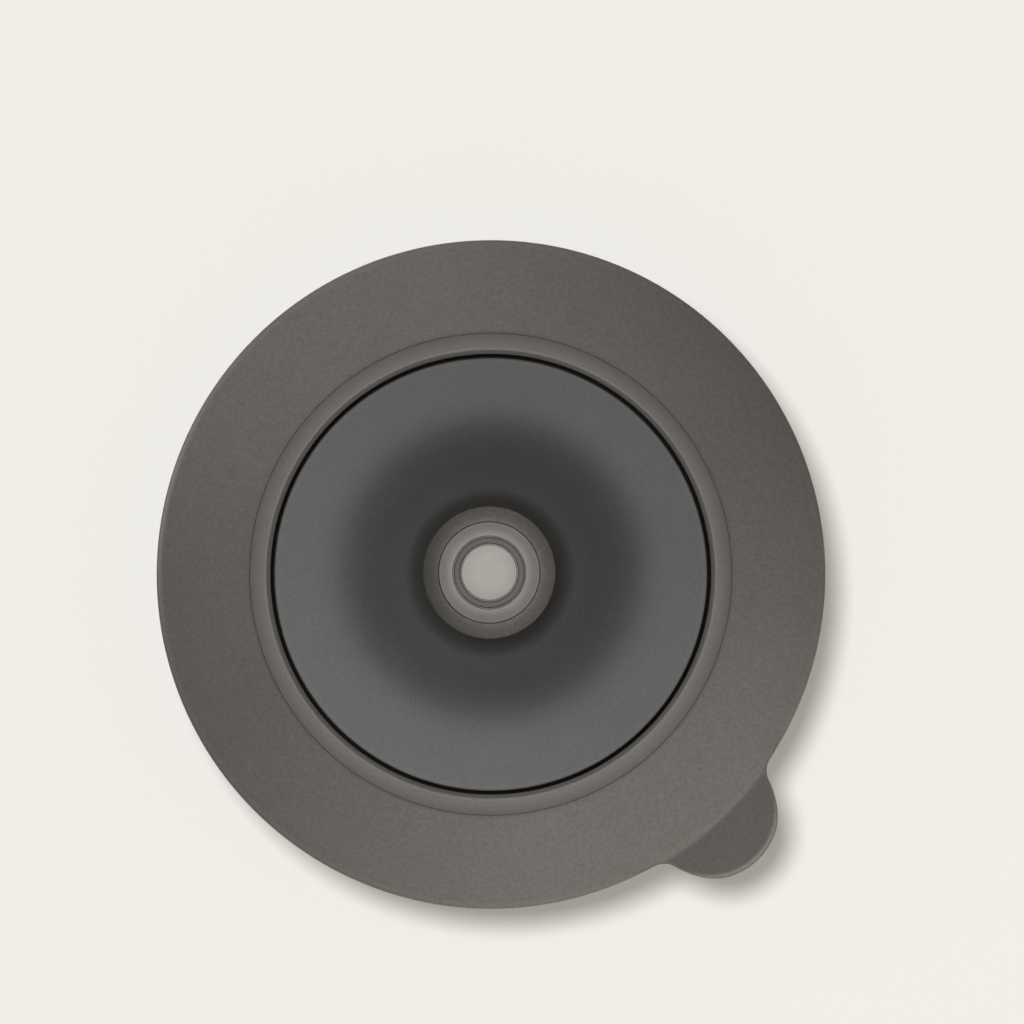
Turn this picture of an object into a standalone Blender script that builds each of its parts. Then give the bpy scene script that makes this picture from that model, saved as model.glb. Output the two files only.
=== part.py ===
# Kitchen sink strainer with a stopper that lifts and turns.
# Metres, +Z up. The origin is the middle of the basket's foot, on the axis of every round piece.
import math

import bmesh
import bpy
from mathutils import Matrix, Vector

mm = 0.001

# Clearances and cutting allowances
fit_gap = 0.25 * mm
trim_gap = 0.2 * mm
slide_gap = 0.3 * mm
edge_gap = 0.6 * mm
cut_overrun = 1.0 * mm
weld_distance = 0.001 * mm

# Facets round a full turn, and the angle past which a shaded edge stays sharp
large_sides = 48
knob_sides = 32
small_sides = 24
slot_end_steps = 3
sharp_angle = math.radians(32)

# Sealing flange, the soft skirt that lies on the sink. With this width it is 114.3 mm across.
flange_width = 16.15 * mm
basket_depth = 34.0 * mm
flange_lip_thickness = 0.85 * mm
flange_edge_thickness = 1.7 * mm
flange_edge_round = 0.8 * mm
flange_top_steps = 4
flange_round_steps = 2
sealing_groove_width = 1.6 * mm
sealing_groove_depth = 0.5 * mm
sealing_groove_shares = (0.28, 0.6)

# Pull tab on the flange
tab_angle = math.radians(-46.9)
tab_inset = 2.45 * mm
tab_radius = 12.05 * mm
tab_neck_fillet = 3.4 * mm
tab_thickness = 1.2 * mm
tab_lift = 0.3 * mm
tab_root_depth = 1.2 * mm
tab_chamfer = 0.35 * mm
tab_neck_steps = 4
tab_round_steps = 14

# Basket ring, the rigid ring with the bead, the seat and the snap skirt
mouth_diameter = 75.4 * mm
bead_width = 3.3 * mm
bead_height = 0.7 * mm
bead_crest_share = 0.33
bead_steps = 3
tongue_thickness = 0.9 * mm
tongue_reach = 4.0 * mm
skirt_inset = 1.1 * mm
skirt_wall = 1.5 * mm
skirt_length = 6.0 * mm
ledge_width = 3.2 * mm
ledge_thickness = 1.5 * mm

# Strainer basket
basket_wall = 1.6 * mm
floor_thickness = 1.8 * mm
basket_taper = 3.6 * mm
basket_corner_radius = 4.0 * mm
basket_corner_steps = 3
snap_bead_height = 0.5 * mm
snap_bead_half_width = 0.8 * mm
snap_drop = 3.2 * mm
wall_slot_width = 2.4 * mm
wall_slot_margin = 2.0 * mm
floor_slot_width = 2.2 * mm
floor_slot_margin = 1.4 * mm
outer_floor_slots = 24
inner_floor_slots = 12
floor_split_share = 0.36
floor_rib_width = 2.0 * mm
recess_radius = 9.5 * mm
recess_height = 3.2 * mm
hub_height = 16.0 * mm
hub_wall = 1.8 * mm
gusset_count = 6
gusset_thickness = 1.4 * mm
gusset_height = 6.0 * mm

# Guide bush and the detent ring in its head
stem_radius = 3.0 * mm
bush_wall = 1.6 * mm
barb_reach = 0.6 * mm
barb_height = 1.5 * mm
barb_land = 0.5 * mm
finger_slot_width = 1.0 * mm
finger_slot_length = 9.0 * mm
head_lip = 1.0 * mm
detent_ring_thickness = 1.5 * mm
bead_section_sides = 8

# Stopper shell. The bell's flat, arcs and flank are shares of its width from the neck to the edge.
disc_recess = 0.4 * mm
shell_wall = 1.8 * mm
shell_edge_round = 0.5 * mm
shell_edge_steps = 2
flat_share = 0.251
bell_arc_share = 0.7224
bell_slope_degrees = 45
bell_steps = 6
flank_share = 0.076
throat_arc_share = 0.4563
throat_slope_degrees = 65
throat_steps = 3
neck_space = 6.0 * mm
neck_web_thickness = 2.0 * mm

# Stopper seal and the plate that clamps it
seal_thickness = 1.2 * mm
seal_overhang_inset = 0.1 * mm
seal_clamp_width = 2.5 * mm
retainer_thickness = 1.5 * mm
retainer_side_gap = 0.5 * mm
retainer_rib_width = 1.5 * mm
retainer_boss_height = 2.2 * mm
retainer_boss_wall = 1.5 * mm

# Stem with its seal, washer and nut
stem_tip_rise = 0.5 * mm
stem_tip_chamfer = 0.8 * mm
stem_groove_depth = 0.35 * mm
stem_groove_half_width = 0.75 * mm
drain_lift = 12.0 * mm
stud_radius = 2.2 * mm
stem_seal_thickness = 1.4 * mm
washer_thickness = 0.8 * mm
washer_margin = 2.3 * mm
nut_wall = 2.0 * mm
nut_height = 3.2 * mm

# Knob: rigid core, soft grip, glossy inlay and its plain ring
knob_radius = 11.2 * mm
knob_height = 5.8 * mm
knob_rim_width = 2.6 * mm
knob_edge_round = 0.9 * mm
knob_edge_steps = 3
knob_foot_inset = 0.7 * mm
knob_foot_height = 1.2 * mm
core_wall = 2.6 * mm
core_plate_thickness = 1.3 * mm
inlay_thickness = 1.1 * mm
inlay_step = 0.25 * mm
inlay_edge_chamfer = 0.2 * mm
trim_ring_radius = 5.4 * mm
trim_ring_width = 1.1 * mm
trim_ring_height = 0.5 * mm
trim_ring_proud = 0.15 * mm
trim_ring_chamfer = 0.15 * mm

# Radii that the pieces share
mouth_radius = mouth_diameter / 2
bead_outer_radius = mouth_radius + bead_width
flange_radius = bead_outer_radius + flange_width
tongue_radius = bead_outer_radius + tongue_reach
skirt_radius = bead_outer_radius - skirt_inset
skirt_inner_radius = skirt_radius - skirt_wall
ledge_radius = mouth_radius - ledge_width
basket_radius = skirt_inner_radius - fit_gap
basket_low_radius = basket_radius - basket_taper
foot_radius = basket_low_radius - basket_corner_radius
bush_bore = stem_radius + slide_gap
bush_radius = bush_bore + bush_wall
detent_ring_radius = bush_bore + detent_ring_thickness / 2
detent_pocket_radius = bush_bore + detent_ring_thickness + trim_gap
head_radius = detent_pocket_radius + bush_wall
hub_bore = bush_radius + fit_gap
hub_radius = hub_bore + hub_wall
hub_foot_radius = recess_radius + floor_thickness
stopper_radius = mouth_radius - edge_gap
neck_radius = stem_radius + neck_space + shell_wall
bell_width = stopper_radius - neck_radius
bell_radius = stopper_radius - bell_width * flat_share
bell_arc_radius = bell_width * bell_arc_share
bell_slope = math.radians(bell_slope_degrees)
bell_flank_width = bell_width * flank_share
throat_start_radius = bell_radius - bell_arc_radius * math.sin(bell_slope) - bell_flank_width
throat_arc_radius = bell_width * throat_arc_share
throat_slope = math.radians(throat_slope_degrees)
throat_radius = throat_start_radius - throat_arc_radius * (math.sin(throat_slope) - math.sin(bell_slope))
stud_hole_radius = stud_radius + fit_gap
stem_hole_radius = stem_radius + fit_gap
stem_seal_radius = stem_hole_radius + stem_seal_thickness / 2
stem_seal_pocket_radius = stem_hole_radius + stem_seal_thickness + trim_gap
retainer_radius = ledge_radius - retainer_side_gap
seal_outer_radius = stopper_radius - seal_overhang_inset
seal_inner_radius = retainer_radius - seal_clamp_width
rib_radius = seal_inner_radius - fit_gap
core_radius = stud_hole_radius + core_wall
inlay_recess_radius = knob_radius - knob_rim_width

# Heights that the pieces share, from the foot up
lip_top = basket_depth + flange_lip_thickness
tongue_low = lip_top + fit_gap
tongue_top = tongue_low + tongue_thickness
flange_top = tongue_top + fit_gap + flange_lip_thickness
disc_top = flange_top - disc_recess
disc_low = disc_top - shell_wall
seal_top = disc_low - fit_gap
seal_low = seal_top - seal_thickness
ledge_top = seal_low - fit_gap
ledge_low = ledge_top - ledge_thickness
skirt_low = ledge_low - skirt_length
basket_top = ledge_low - fit_gap
snap_level = basket_top - snap_drop
retainer_top = seal_low - fit_gap
retainer_low = retainer_top - retainer_thickness
stem_seal_pocket_depth = stem_seal_thickness + fit_gap
washer_top = retainer_low - fit_gap
washer_low = washer_top - washer_thickness
nut_top = washer_low - fit_gap
nut_low = nut_top - nut_height
bell_arc_level = disc_top + bell_arc_radius
bell_arc_rise = bell_arc_radius * (1 - math.cos(bell_slope))
throat_start_level = disc_top + bell_arc_rise + bell_flank_width * math.tan(bell_slope)
throat_rise = throat_arc_radius * (math.cos(bell_slope) - math.cos(throat_slope))
neck_top = throat_start_level + throat_rise + (throat_radius - neck_radius) * math.tan(throat_slope)
web_low = neck_top - neck_web_thickness
knob_low = neck_top + fit_gap
knob_top = knob_low + knob_height
inlay_top = knob_top - inlay_step
inlay_low = inlay_top - inlay_thickness
core_top = inlay_low - fit_gap
core_plate_low = core_top - core_plate_thickness
hub_foot = recess_height + floor_thickness
head_low = hub_height + fit_gap
detent_pocket_low = head_low + head_lip
detent_level = detent_pocket_low + trim_gap + detent_ring_thickness / 2
detent_pocket_top = detent_level + detent_ring_thickness / 2 + trim_gap
head_top = detent_pocket_top + head_lip
barb_top = recess_height - fit_gap
barb_low = barb_top - barb_height
stem_tip = barb_low + stem_tip_rise

# Colours as linear red, green and blue, with roughness and metallic values
rubber_grey = ((0.095, 0.091, 0.084), 0.74, 0.0)
ring_grey = ((0.100, 0.099, 0.099), 0.48, 0.0)
shell_grey = ((0.056, 0.055, 0.0555), 0.42, 0.0)
basket_grey = ((0.078, 0.077, 0.077), 0.46, 0.0)
seal_grey = ((0.055, 0.055, 0.055), 0.62, 0.0)
bush_white = ((0.700, 0.690, 0.660), 0.38, 0.0)
steel = ((0.560, 0.550, 0.530), 0.24, 1.0)
knob_grey = ((0.066, 0.064, 0.062), 0.66, 0.0)
inlay_silver = ((0.215, 0.210, 0.203), 0.20, 1.0)
trim_grey = ((0.120, 0.117, 0.113), 0.34, 1.0)


# Clears the scene's objects, so that only the model is left.
def clear_scene():
    for item in list(bpy.data.objects):
        bpy.data.objects.remove(item, do_unlink=True)


# Adds an empty on the common axis, which its pieces are parented to.
def add_axis(name, parent=None):
    axis = bpy.data.objects.new(name, None)
    bpy.context.scene.collection.objects.link(axis)
    axis.parent = parent
    return axis


# Makes a piece's own material.
def make_finish(name, finish):
    colour, roughness, metallic = finish
    material = bpy.data.materials.new(name + "_finish")
    material.use_nodes = True
    shader = material.node_tree.nodes["Principled BSDF"]
    shader.inputs["Base Color"].default_value = (*colour, 1.0)
    shader.inputs["Roughness"].default_value = roughness
    shader.inputs["Metallic"].default_value = metallic
    material.diffuse_color = (*colour, 1.0)
    return material


# Turns a finished bmesh into an object with smooth shading.
def add_piece(name, mesh, finish, parent):
    bmesh.ops.recalc_face_normals(mesh, faces=mesh.faces)
    data = bpy.data.meshes.new(name)
    mesh.to_mesh(data)
    mesh.free()
    data.shade_smooth()
    data.set_sharp_from_angle(angle=sharp_angle)
    data.materials.append(make_finish(name, finish))
    piece = bpy.data.objects.new(name, data)
    bpy.context.scene.collection.objects.link(piece)
    piece.parent = parent
    return piece


# Turns a closed outline of (radius, height) points about the Z axis.
def turn_outline(outline, sides):
    mesh = bmesh.new()
    points = [mesh.verts.new((radius, 0.0, height)) for radius, height in outline]
    edges = []
    for first, last in zip(points, points[1:] + points[:1]):
        on_axis = first.co.x == 0.0 and last.co.x == 0.0
        if not on_axis:
            edges.append(mesh.edges.new((first, last)))
    bmesh.ops.spin(
        mesh,
        geom=points + edges,
        cent=(0.0, 0.0, 0.0),
        axis=(0.0, 0.0, 1.0),
        angle=math.tau,
        steps=sides,
        use_merge=True,
    )
    bmesh.ops.remove_doubles(mesh, verts=mesh.verts, dist=weld_distance)
    bmesh.ops.dissolve_degenerate(mesh, edges=mesh.edges, dist=weld_distance)
    return mesh


def add_turned_piece(name, outline, sides, finish, parent):
    return add_piece(name, turn_outline(outline, sides), finish, parent)


# Points of an arc in the (radius, height) plane, both ends included.
def arc_points(centre_radius, centre_height, radius, start, stop, steps):
    points = []
    for step in range(steps + 1):
        angle = math.radians(start + (stop - start) * step / steps)
        points.append((centre_radius + radius * math.cos(angle), centre_height + radius * math.sin(angle)))
    return points


# Sweeps a flat outline into a closed prism inside the given bmesh.
def add_prism(mesh, outline, sweep):
    face = mesh.faces.new([mesh.verts.new(point) for point in outline])
    grown = bmesh.ops.extrude_face_region(mesh, geom=[face], use_keep_orig=True)
    moved = [item for item in grown["geom"] if isinstance(item, bmesh.types.BMVert)]
    bmesh.ops.translate(mesh, verts=moved, vec=sweep)


# Adds a round-ended slot as a prism. first and last are the centres of its two round ends.
def add_slot(mesh, first, last, across, width, sweep):
    along = (last - first).normalized()
    outline = []
    for centre, turn in ((last, 0.0), (first, math.pi)):
        for step in range(slot_end_steps + 1):
            angle = turn - math.pi / 2 + math.pi * step / slot_end_steps
            outline.append(centre + (along * math.cos(angle) + across * math.sin(angle)) * width / 2)
    add_prism(mesh, outline, sweep)


# Adds a hidden shape that a Boolean modifier joins to a piece or cuts out of it.
def combine(piece, name, mesh, operation):
    bmesh.ops.recalc_face_normals(mesh, faces=mesh.faces)
    data = bpy.data.meshes.new(name)
    mesh.to_mesh(data)
    mesh.free()
    shape = bpy.data.objects.new(name, data)
    bpy.context.scene.collection.objects.link(shape)
    shape.parent = piece.parent
    shape.hide_render = True
    shape.display_type = "WIRE"
    modifier = piece.modifiers.new(name, "BOOLEAN")
    modifier.operation = operation
    modifier.object = shape
    modifier.solver = "EXACT"


# Height of the flange's top, which falls gently towards the edge.
def flange_top_at(share):
    edge_top = basket_depth + flange_edge_thickness
    return flange_top - (flange_top - edge_top) * share ** 2


# Outline of the pull tab, drawn in by margin. The tab's circle meets the flange's edge through a
# fillet on each side: the fillet's centre lies on circles round the flange's and the tab's centres.
def tab_outline(margin):
    tab_centre = flange_radius - tab_inset
    to_flange = flange_radius + tab_neck_fillet
    to_tab = tab_radius + tab_neck_fillet
    cosine = (to_flange ** 2 + tab_centre ** 2 - to_tab ** 2) / (2 * to_flange * tab_centre)
    spread = math.acos(cosine)
    fillet_centre = Vector((to_flange * math.cos(spread), to_flange * math.sin(spread)))
    reach = Vector((tab_centre, 0.0)) - fillet_centre
    fillet_start = spread + math.pi
    fillet_stop = math.tau + math.atan2(reach.y, reach.x)
    fillet_radius = tab_neck_fillet + margin
    round_radius = tab_radius - margin
    half = [Vector((math.cos(spread), math.sin(spread))) * (flange_radius - margin - tab_root_depth)]
    for step in range(tab_neck_steps + 1):
        angle = fillet_start + (fillet_stop - fillet_start) * step / tab_neck_steps
        half.append(fillet_centre + Vector((math.cos(angle), math.sin(angle))) * fillet_radius)
    round_start = fillet_stop - math.pi
    for step in range(1, tab_round_steps // 2 + 1):
        angle = round_start * (1 - 2 * step / tab_round_steps)
        half.append(Vector((tab_centre + math.cos(angle) * round_radius, math.sin(angle) * round_radius)))
    mirrored = [Vector((point.x, -point.y)) for point in reversed(half[:-1])]
    turn = Matrix.Rotation(tab_angle, 2)
    return [turn @ point for point in half + mirrored]


# Pull tab as three stacked outlines, the top one drawn in for its chamfer.
def tab_mesh():
    tab_low = basket_depth + tab_lift
    tab_top = tab_low + tab_thickness
    mesh = bmesh.new()
    loops = []
    for height, margin in ((tab_low, 0.0), (tab_top - tab_chamfer, 0.0), (tab_top, tab_chamfer)):
        loops.append([mesh.verts.new((point.x, point.y, height)) for point in tab_outline(margin)])
    mesh.faces.new(loops[0])
    mesh.faces.new(loops[-1])
    for lower, upper in zip(loops, loops[1:]):
        for index in range(len(lower)):
            follower = (index + 1) % len(lower)
            mesh.faces.new((lower[index], lower[follower], upper[follower], upper[index]))
    return mesh


# Soft flange, moulded round the ring's tongue, with two sealing grooves underneath.
def make_sealing_flange(parent):
    seam_radius = bead_outer_radius + trim_gap
    slot_radius = tongue_radius + fit_gap
    edge_start = flange_radius - flange_edge_round
    upper_centre = basket_depth + flange_edge_thickness - flange_edge_round
    lower_centre = basket_depth + flange_edge_round
    outline = [(seam_radius, tongue_top + fit_gap)]
    for step in range(flange_top_steps):
        share = step / flange_top_steps
        outline.append((seam_radius + (edge_start - seam_radius) * share, flange_top_at(share)))
    outline += arc_points(edge_start, upper_centre, flange_edge_round, 90, 0, flange_round_steps)
    outline += arc_points(edge_start, lower_centre, flange_edge_round, 0, -90, flange_round_steps)
    for share in reversed(sealing_groove_shares):
        groove_radius = slot_radius + (flange_radius - slot_radius) * share
        outline.append((groove_radius + sealing_groove_width / 2, basket_depth))
        outline.append((groove_radius, basket_depth + sealing_groove_depth))
        outline.append((groove_radius - sealing_groove_width / 2, basket_depth))
    outline.append((skirt_radius + fit_gap, basket_depth))
    outline.append((skirt_radius + fit_gap, lip_top))
    outline.append((slot_radius, lip_top))
    outline.append((slot_radius, tongue_top + fit_gap))
    flange = add_turned_piece("sealing_flange", outline, large_sides, rubber_grey, parent)
    combine(flange, "pull_tab_shape", tab_mesh(), "UNION")


# Rigid ring: mouth, bead, tongue for the flange, seat for the stopper and skirt for the basket.
def make_basket_ring(parent):
    crest_radius = mouth_radius + bead_width * bead_crest_share
    crest_height = flange_top + bead_height
    rise_width = crest_radius - mouth_radius
    rise_foot = crest_height - rise_width
    outline = [(ledge_radius, ledge_top), (mouth_radius, ledge_top)]
    outline += arc_points(crest_radius, rise_foot, rise_width, 180, 90, bead_steps)
    for step in range(1, bead_steps + 1):
        share = step / bead_steps
        radius = crest_radius + (bead_outer_radius - crest_radius) * share
        outline.append((radius, crest_height - bead_height * share ** 2))
    outline.append((bead_outer_radius, tongue_top))
    outline.append((tongue_radius, tongue_top))
    outline.append((tongue_radius, tongue_low))
    outline.append((skirt_radius, tongue_low))
    outline.append((skirt_radius, skirt_low))
    outline.append((skirt_inner_radius, skirt_low))
    outline.append((skirt_inner_radius, snap_level - snap_bead_half_width - fit_gap))
    outline.append((skirt_inner_radius + snap_bead_height, snap_level))
    outline.append((skirt_inner_radius, snap_level + snap_bead_half_width + fit_gap))
    outline.append((skirt_inner_radius, ledge_low))
    outline.append((ledge_radius, ledge_low))
    add_turned_piece("basket_ring", outline, large_sides, ring_grey, parent)


# Cutter for the basket: one upright slot in each facet of the wall, and two rings of slots in the floor.
def basket_slots():
    mesh = bmesh.new()
    up = Vector((0.0, 0.0, 1.0))
    slot_foot = basket_corner_radius + wall_slot_margin + wall_slot_width / 2
    slot_head = skirt_low - wall_slot_margin - wall_slot_width / 2
    wall_start = foot_radius - cut_overrun
    wall_sweep = basket_radius + cut_overrun - wall_start
    for index in range(large_sides):
        angle = math.tau * (index + 0.5) / large_sides
        outward = Vector((math.cos(angle), math.sin(angle), 0.0))
        across = up.cross(outward)
        foot = outward * wall_start + up * slot_foot
        head = outward * wall_start + up * slot_head
        add_slot(mesh, foot, head, across, wall_slot_width, outward * wall_sweep)
    floor_start = hub_foot_radius + floor_slot_margin
    floor_stop = foot_radius - floor_slot_margin - basket_wall
    split = floor_start + (floor_stop - floor_start) * floor_split_share
    rings = (
        (inner_floor_slots, floor_start, split - floor_rib_width / 2),
        (outer_floor_slots, split + floor_rib_width / 2, floor_stop),
    )
    for count, start, stop in rings:
        for index in range(count):
            angle = math.tau * (index + 0.5) / count
            outward = Vector((math.cos(angle), math.sin(angle), 0.0))
            across = up.cross(outward)
            near = outward * (start + floor_slot_width / 2) - up * cut_overrun
            far = outward * (stop - floor_slot_width / 2) - up * cut_overrun
            add_slot(mesh, near, far, across, floor_slot_width, up * (floor_thickness + 2 * cut_overrun))
    return mesh


# Wedges that brace the hub on its raised foot.
def hub_gussets():
    mesh = bmesh.new()
    inner = hub_radius - hub_wall / 2
    outer = hub_foot_radius - floor_thickness / 2
    low = hub_foot - floor_thickness / 2
    high = hub_foot + gusset_height
    for index in range(gusset_count):
        angle = math.tau * index / gusset_count
        outward = Vector((math.cos(angle), math.sin(angle), 0.0))
        across = Vector((-math.sin(angle), math.cos(angle), 0.0))
        outline = []
        for radius, height in ((inner, low), (outer, low), (inner, high)):
            outline.append(outward * radius + Vector((0.0, 0.0, height)) - across * gusset_thickness / 2)
        add_prism(mesh, outline, across * gusset_thickness)
    return mesh


# Perforated basket with a tapered wall, a hub for the bush and a snap bead for the ring's skirt.
def make_strainer_basket(parent):
    inner_top = basket_radius - basket_wall
    inner_low = basket_low_radius - basket_wall
    inner_corner = basket_corner_radius - basket_wall
    outline = [
        (hub_bore, recess_height),
        (hub_bore, hub_height),
        (hub_radius, hub_height),
        (hub_radius, hub_foot),
        (hub_foot_radius, hub_foot),
        (hub_foot_radius, floor_thickness),
    ]
    corner_centre = inner_low - inner_corner
    corner_level = floor_thickness + inner_corner
    outline += arc_points(corner_centre, corner_level, inner_corner, -90, 0, basket_corner_steps)
    outline += [
        (inner_top, skirt_low),
        (inner_top, basket_top),
        (basket_radius, basket_top),
        (basket_radius, snap_level + snap_bead_half_width),
        (basket_radius + snap_bead_height, snap_level),
        (basket_radius, snap_level - snap_bead_half_width),
        (basket_radius, skirt_low),
    ]
    outer_corner = basket_corner_radius
    outline += arc_points(foot_radius, outer_corner, outer_corner, 0, -90, basket_corner_steps)
    outline += [(recess_radius, 0.0), (recess_radius, recess_height)]
    basket = add_turned_piece("strainer_basket", outline, large_sides, basket_grey, parent)
    combine(basket, "hub_gusset_shape", hub_gussets(), "UNION")
    combine(basket, "basket_slot_shape", basket_slots(), "DIFFERENCE")


# Bush in the hub. Its slit lower end snaps under the hub, and its head holds the detent ring.
def make_guide_bush(parent):
    outline = [
        (bush_bore, barb_low),
        (bush_radius, barb_low),
        (bush_radius + barb_reach, barb_top - barb_land),
        (bush_radius + barb_reach, barb_top),
        (bush_radius, barb_top),
        (bush_radius, head_low),
        (head_radius, head_low),
        (head_radius, head_top),
        (bush_bore, head_top),
        (bush_bore, detent_pocket_top),
        (detent_pocket_radius, detent_pocket_top),
        (detent_pocket_radius, detent_pocket_low),
        (bush_bore, detent_pocket_low),
    ]
    bush = add_turned_piece("guide_bush", outline, small_sides, bush_white, parent)
    reach = head_radius + cut_overrun
    half_width = finger_slot_width / 2
    for name, turn in (("finger_slot_one", 0.25), ("finger_slot_two", 0.75)):
        angle = math.pi * turn
        along = Vector((math.cos(angle), math.sin(angle), 0.0))
        across = Vector((-math.sin(angle), math.cos(angle), 0.0))
        foot = Vector((0.0, 0.0, barb_low - cut_overrun))
        outline = []
        for side, end in ((-1, -1), (1, -1), (1, 1), (-1, 1)):
            outline.append(foot + along * reach * end + across * half_width * side)
        slot = bmesh.new()
        add_prism(slot, outline, Vector((0.0, 0.0, cut_overrun + finger_slot_length)))
        combine(bush, name, slot, "DIFFERENCE")


# Ring of round section.
def make_round_ring(name, ring_radius, level, thickness, sides, finish, parent):
    outline = arc_points(ring_radius, level, thickness / 2, 0, 360, bead_section_sides)[:-1]
    add_turned_piece(name, outline, sides, finish, parent)


# Bell-shaped cover: a flat rim, an arc that turns up into a short flank, a tighter arc that turns
# it further up into the throat, and a pierced web across the neck. The inside follows the outside
# at the wall's thickness.
def make_stopper_shell(parent):
    edge_start = stopper_radius - shell_edge_round
    inner_arc_radius = bell_arc_radius + shell_wall
    throat_centre = throat_start_radius + throat_arc_radius * math.sin(bell_slope)
    throat_level = throat_start_level + throat_arc_radius * math.cos(bell_slope)
    inner_throat_radius = throat_arc_radius + shell_wall
    inner_throat_end = throat_centre - inner_throat_radius * math.sin(throat_slope)
    inner_throat_level = throat_level - inner_throat_radius * math.cos(throat_slope)
    inner_neck_radius = inner_throat_end - (web_low - inner_throat_level) / math.tan(throat_slope)
    flank_angle = -90 - bell_slope_degrees
    neck_angle = -90 - throat_slope_degrees
    outline = [(stud_hole_radius, web_low), (stud_hole_radius, neck_top), (neck_radius, neck_top)]
    outline += arc_points(
        throat_centre, throat_level, throat_arc_radius, neck_angle, flank_angle, throat_steps
    )
    outline += arc_points(bell_radius, bell_arc_level, bell_arc_radius, flank_angle, -90, bell_steps)
    outline += arc_points(edge_start, disc_top - shell_edge_round, shell_edge_round, 90, 0, shell_edge_steps)
    outline.append((stopper_radius, disc_low))
    outline += arc_points(bell_radius, bell_arc_level, inner_arc_radius, -90, flank_angle, bell_steps)
    outline += arc_points(
        throat_centre, throat_level, inner_throat_radius, flank_angle, neck_angle, throat_steps
    )
    outline.append((inner_neck_radius, web_low))
    add_turned_piece("stopper_shell", outline, large_sides, shell_grey, parent)


def make_stopper_seal(parent):
    outline = [
        (seal_inner_radius, seal_low),
        (seal_outer_radius, seal_low),
        (seal_outer_radius, seal_top),
        (seal_inner_radius, seal_top),
    ]
    add_turned_piece("stopper_seal", outline, large_sides, seal_grey, parent)


# Plate that clamps the seal, centres it with a rib and holds the stem's own seal in its boss.
def make_seal_retainer(parent):
    boss_radius = stem_seal_pocket_radius + retainer_boss_wall
    boss_top = retainer_top + retainer_boss_height
    pocket_top = retainer_low + stem_seal_pocket_depth
    rib_inner_radius = rib_radius - retainer_rib_width
    outline = [
        (stem_hole_radius, pocket_top),
        (stem_hole_radius, boss_top),
        (boss_radius, boss_top),
        (boss_radius, retainer_top),
        (rib_inner_radius, retainer_top),
        (rib_inner_radius, seal_top),
        (rib_radius, seal_top),
        (rib_radius, retainer_top),
        (retainer_radius, retainer_top),
        (retainer_radius, retainer_low),
        (stem_seal_pocket_radius, retainer_low),
        (stem_seal_pocket_radius, pocket_top),
    ]
    add_turned_piece("seal_retainer", outline, large_sides, basket_grey, parent)


# Post with a shoulder and a stud at the top, and a groove for each height at which the stopper stays.
def make_stem(parent):
    shoulder = web_low - fit_gap
    stud_top = core_plate_low - fit_gap
    outline = [(0.0, stem_tip), (stem_radius - stem_tip_chamfer, stem_tip)]
    outline.append((stem_radius, stem_tip + stem_tip_chamfer))
    for level in (detent_level - drain_lift, detent_level):
        outline.append((stem_radius, level - stem_groove_half_width))
        outline.append((stem_radius - stem_groove_depth, level))
        outline.append((stem_radius, level + stem_groove_half_width))
    outline += [(stem_radius, shoulder), (stud_radius, shoulder), (stud_radius, stud_top), (0.0, stud_top)]
    add_turned_piece("stem", outline, small_sides, steel, parent)


def make_clamp_washer(parent):
    washer_radius = stem_seal_pocket_radius + washer_margin
    outline = [
        (stem_hole_radius, washer_low),
        (washer_radius, washer_low),
        (washer_radius, washer_top),
        (stem_hole_radius, washer_top),
    ]
    add_turned_piece("clamp_washer", outline, small_sides, steel, parent)


# Hexagonal nut, turned so that a flat faces +Y.
def make_clamp_nut(parent):
    flat_distance = stem_hole_radius + nut_wall
    corner_radius = flat_distance / math.cos(math.pi / 6)
    mesh = bmesh.new()
    outline = []
    for index in range(6):
        angle = math.tau * index / 6
        outline.append(Vector((corner_radius * math.cos(angle), corner_radius * math.sin(angle), nut_low)))
    add_prism(mesh, outline, Vector((0.0, 0.0, nut_height)))
    nut = add_piece("clamp_nut", mesh, steel, parent)
    bore = [
        (0.0, nut_low - cut_overrun),
        (stem_hole_radius, nut_low - cut_overrun),
        (stem_hole_radius, nut_top + cut_overrun),
        (0.0, nut_top + cut_overrun),
    ]
    combine(nut, "nut_bore_shape", turn_outline(bore, small_sides), "DIFFERENCE")


# Threaded core of the knob, with a plate that carries the inlay.
def make_knob_core(parent):
    plate_radius = inlay_recess_radius - fit_gap
    outline = [
        (stud_hole_radius, knob_low),
        (core_radius, knob_low),
        (core_radius, core_plate_low),
        (plate_radius, core_plate_low),
        (plate_radius, core_top),
        (0.0, core_top),
        (0.0, core_plate_low),
        (stud_hole_radius, core_plate_low),
    ]
    add_turned_piece("knob_core", outline, small_sides, basket_grey, parent)


# Soft mushroom-shaped grip round the core.
def make_knob_grip(parent):
    edge_start = knob_radius - knob_edge_round
    grip_bore = core_radius + fit_gap
    plate_seat = core_plate_low - fit_gap
    outline = [
        (grip_bore, plate_seat),
        (grip_bore, knob_low),
        (knob_radius - knob_foot_inset, knob_low),
        (knob_radius, knob_low + knob_foot_height),
    ]
    outline += arc_points(edge_start, knob_top - knob_edge_round, knob_edge_round, 0, 90, knob_edge_steps)
    outline += [(inlay_recess_radius, knob_top), (inlay_recess_radius, plate_seat)]
    add_turned_piece("knob_grip", outline, knob_sides, knob_grey, parent)


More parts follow.
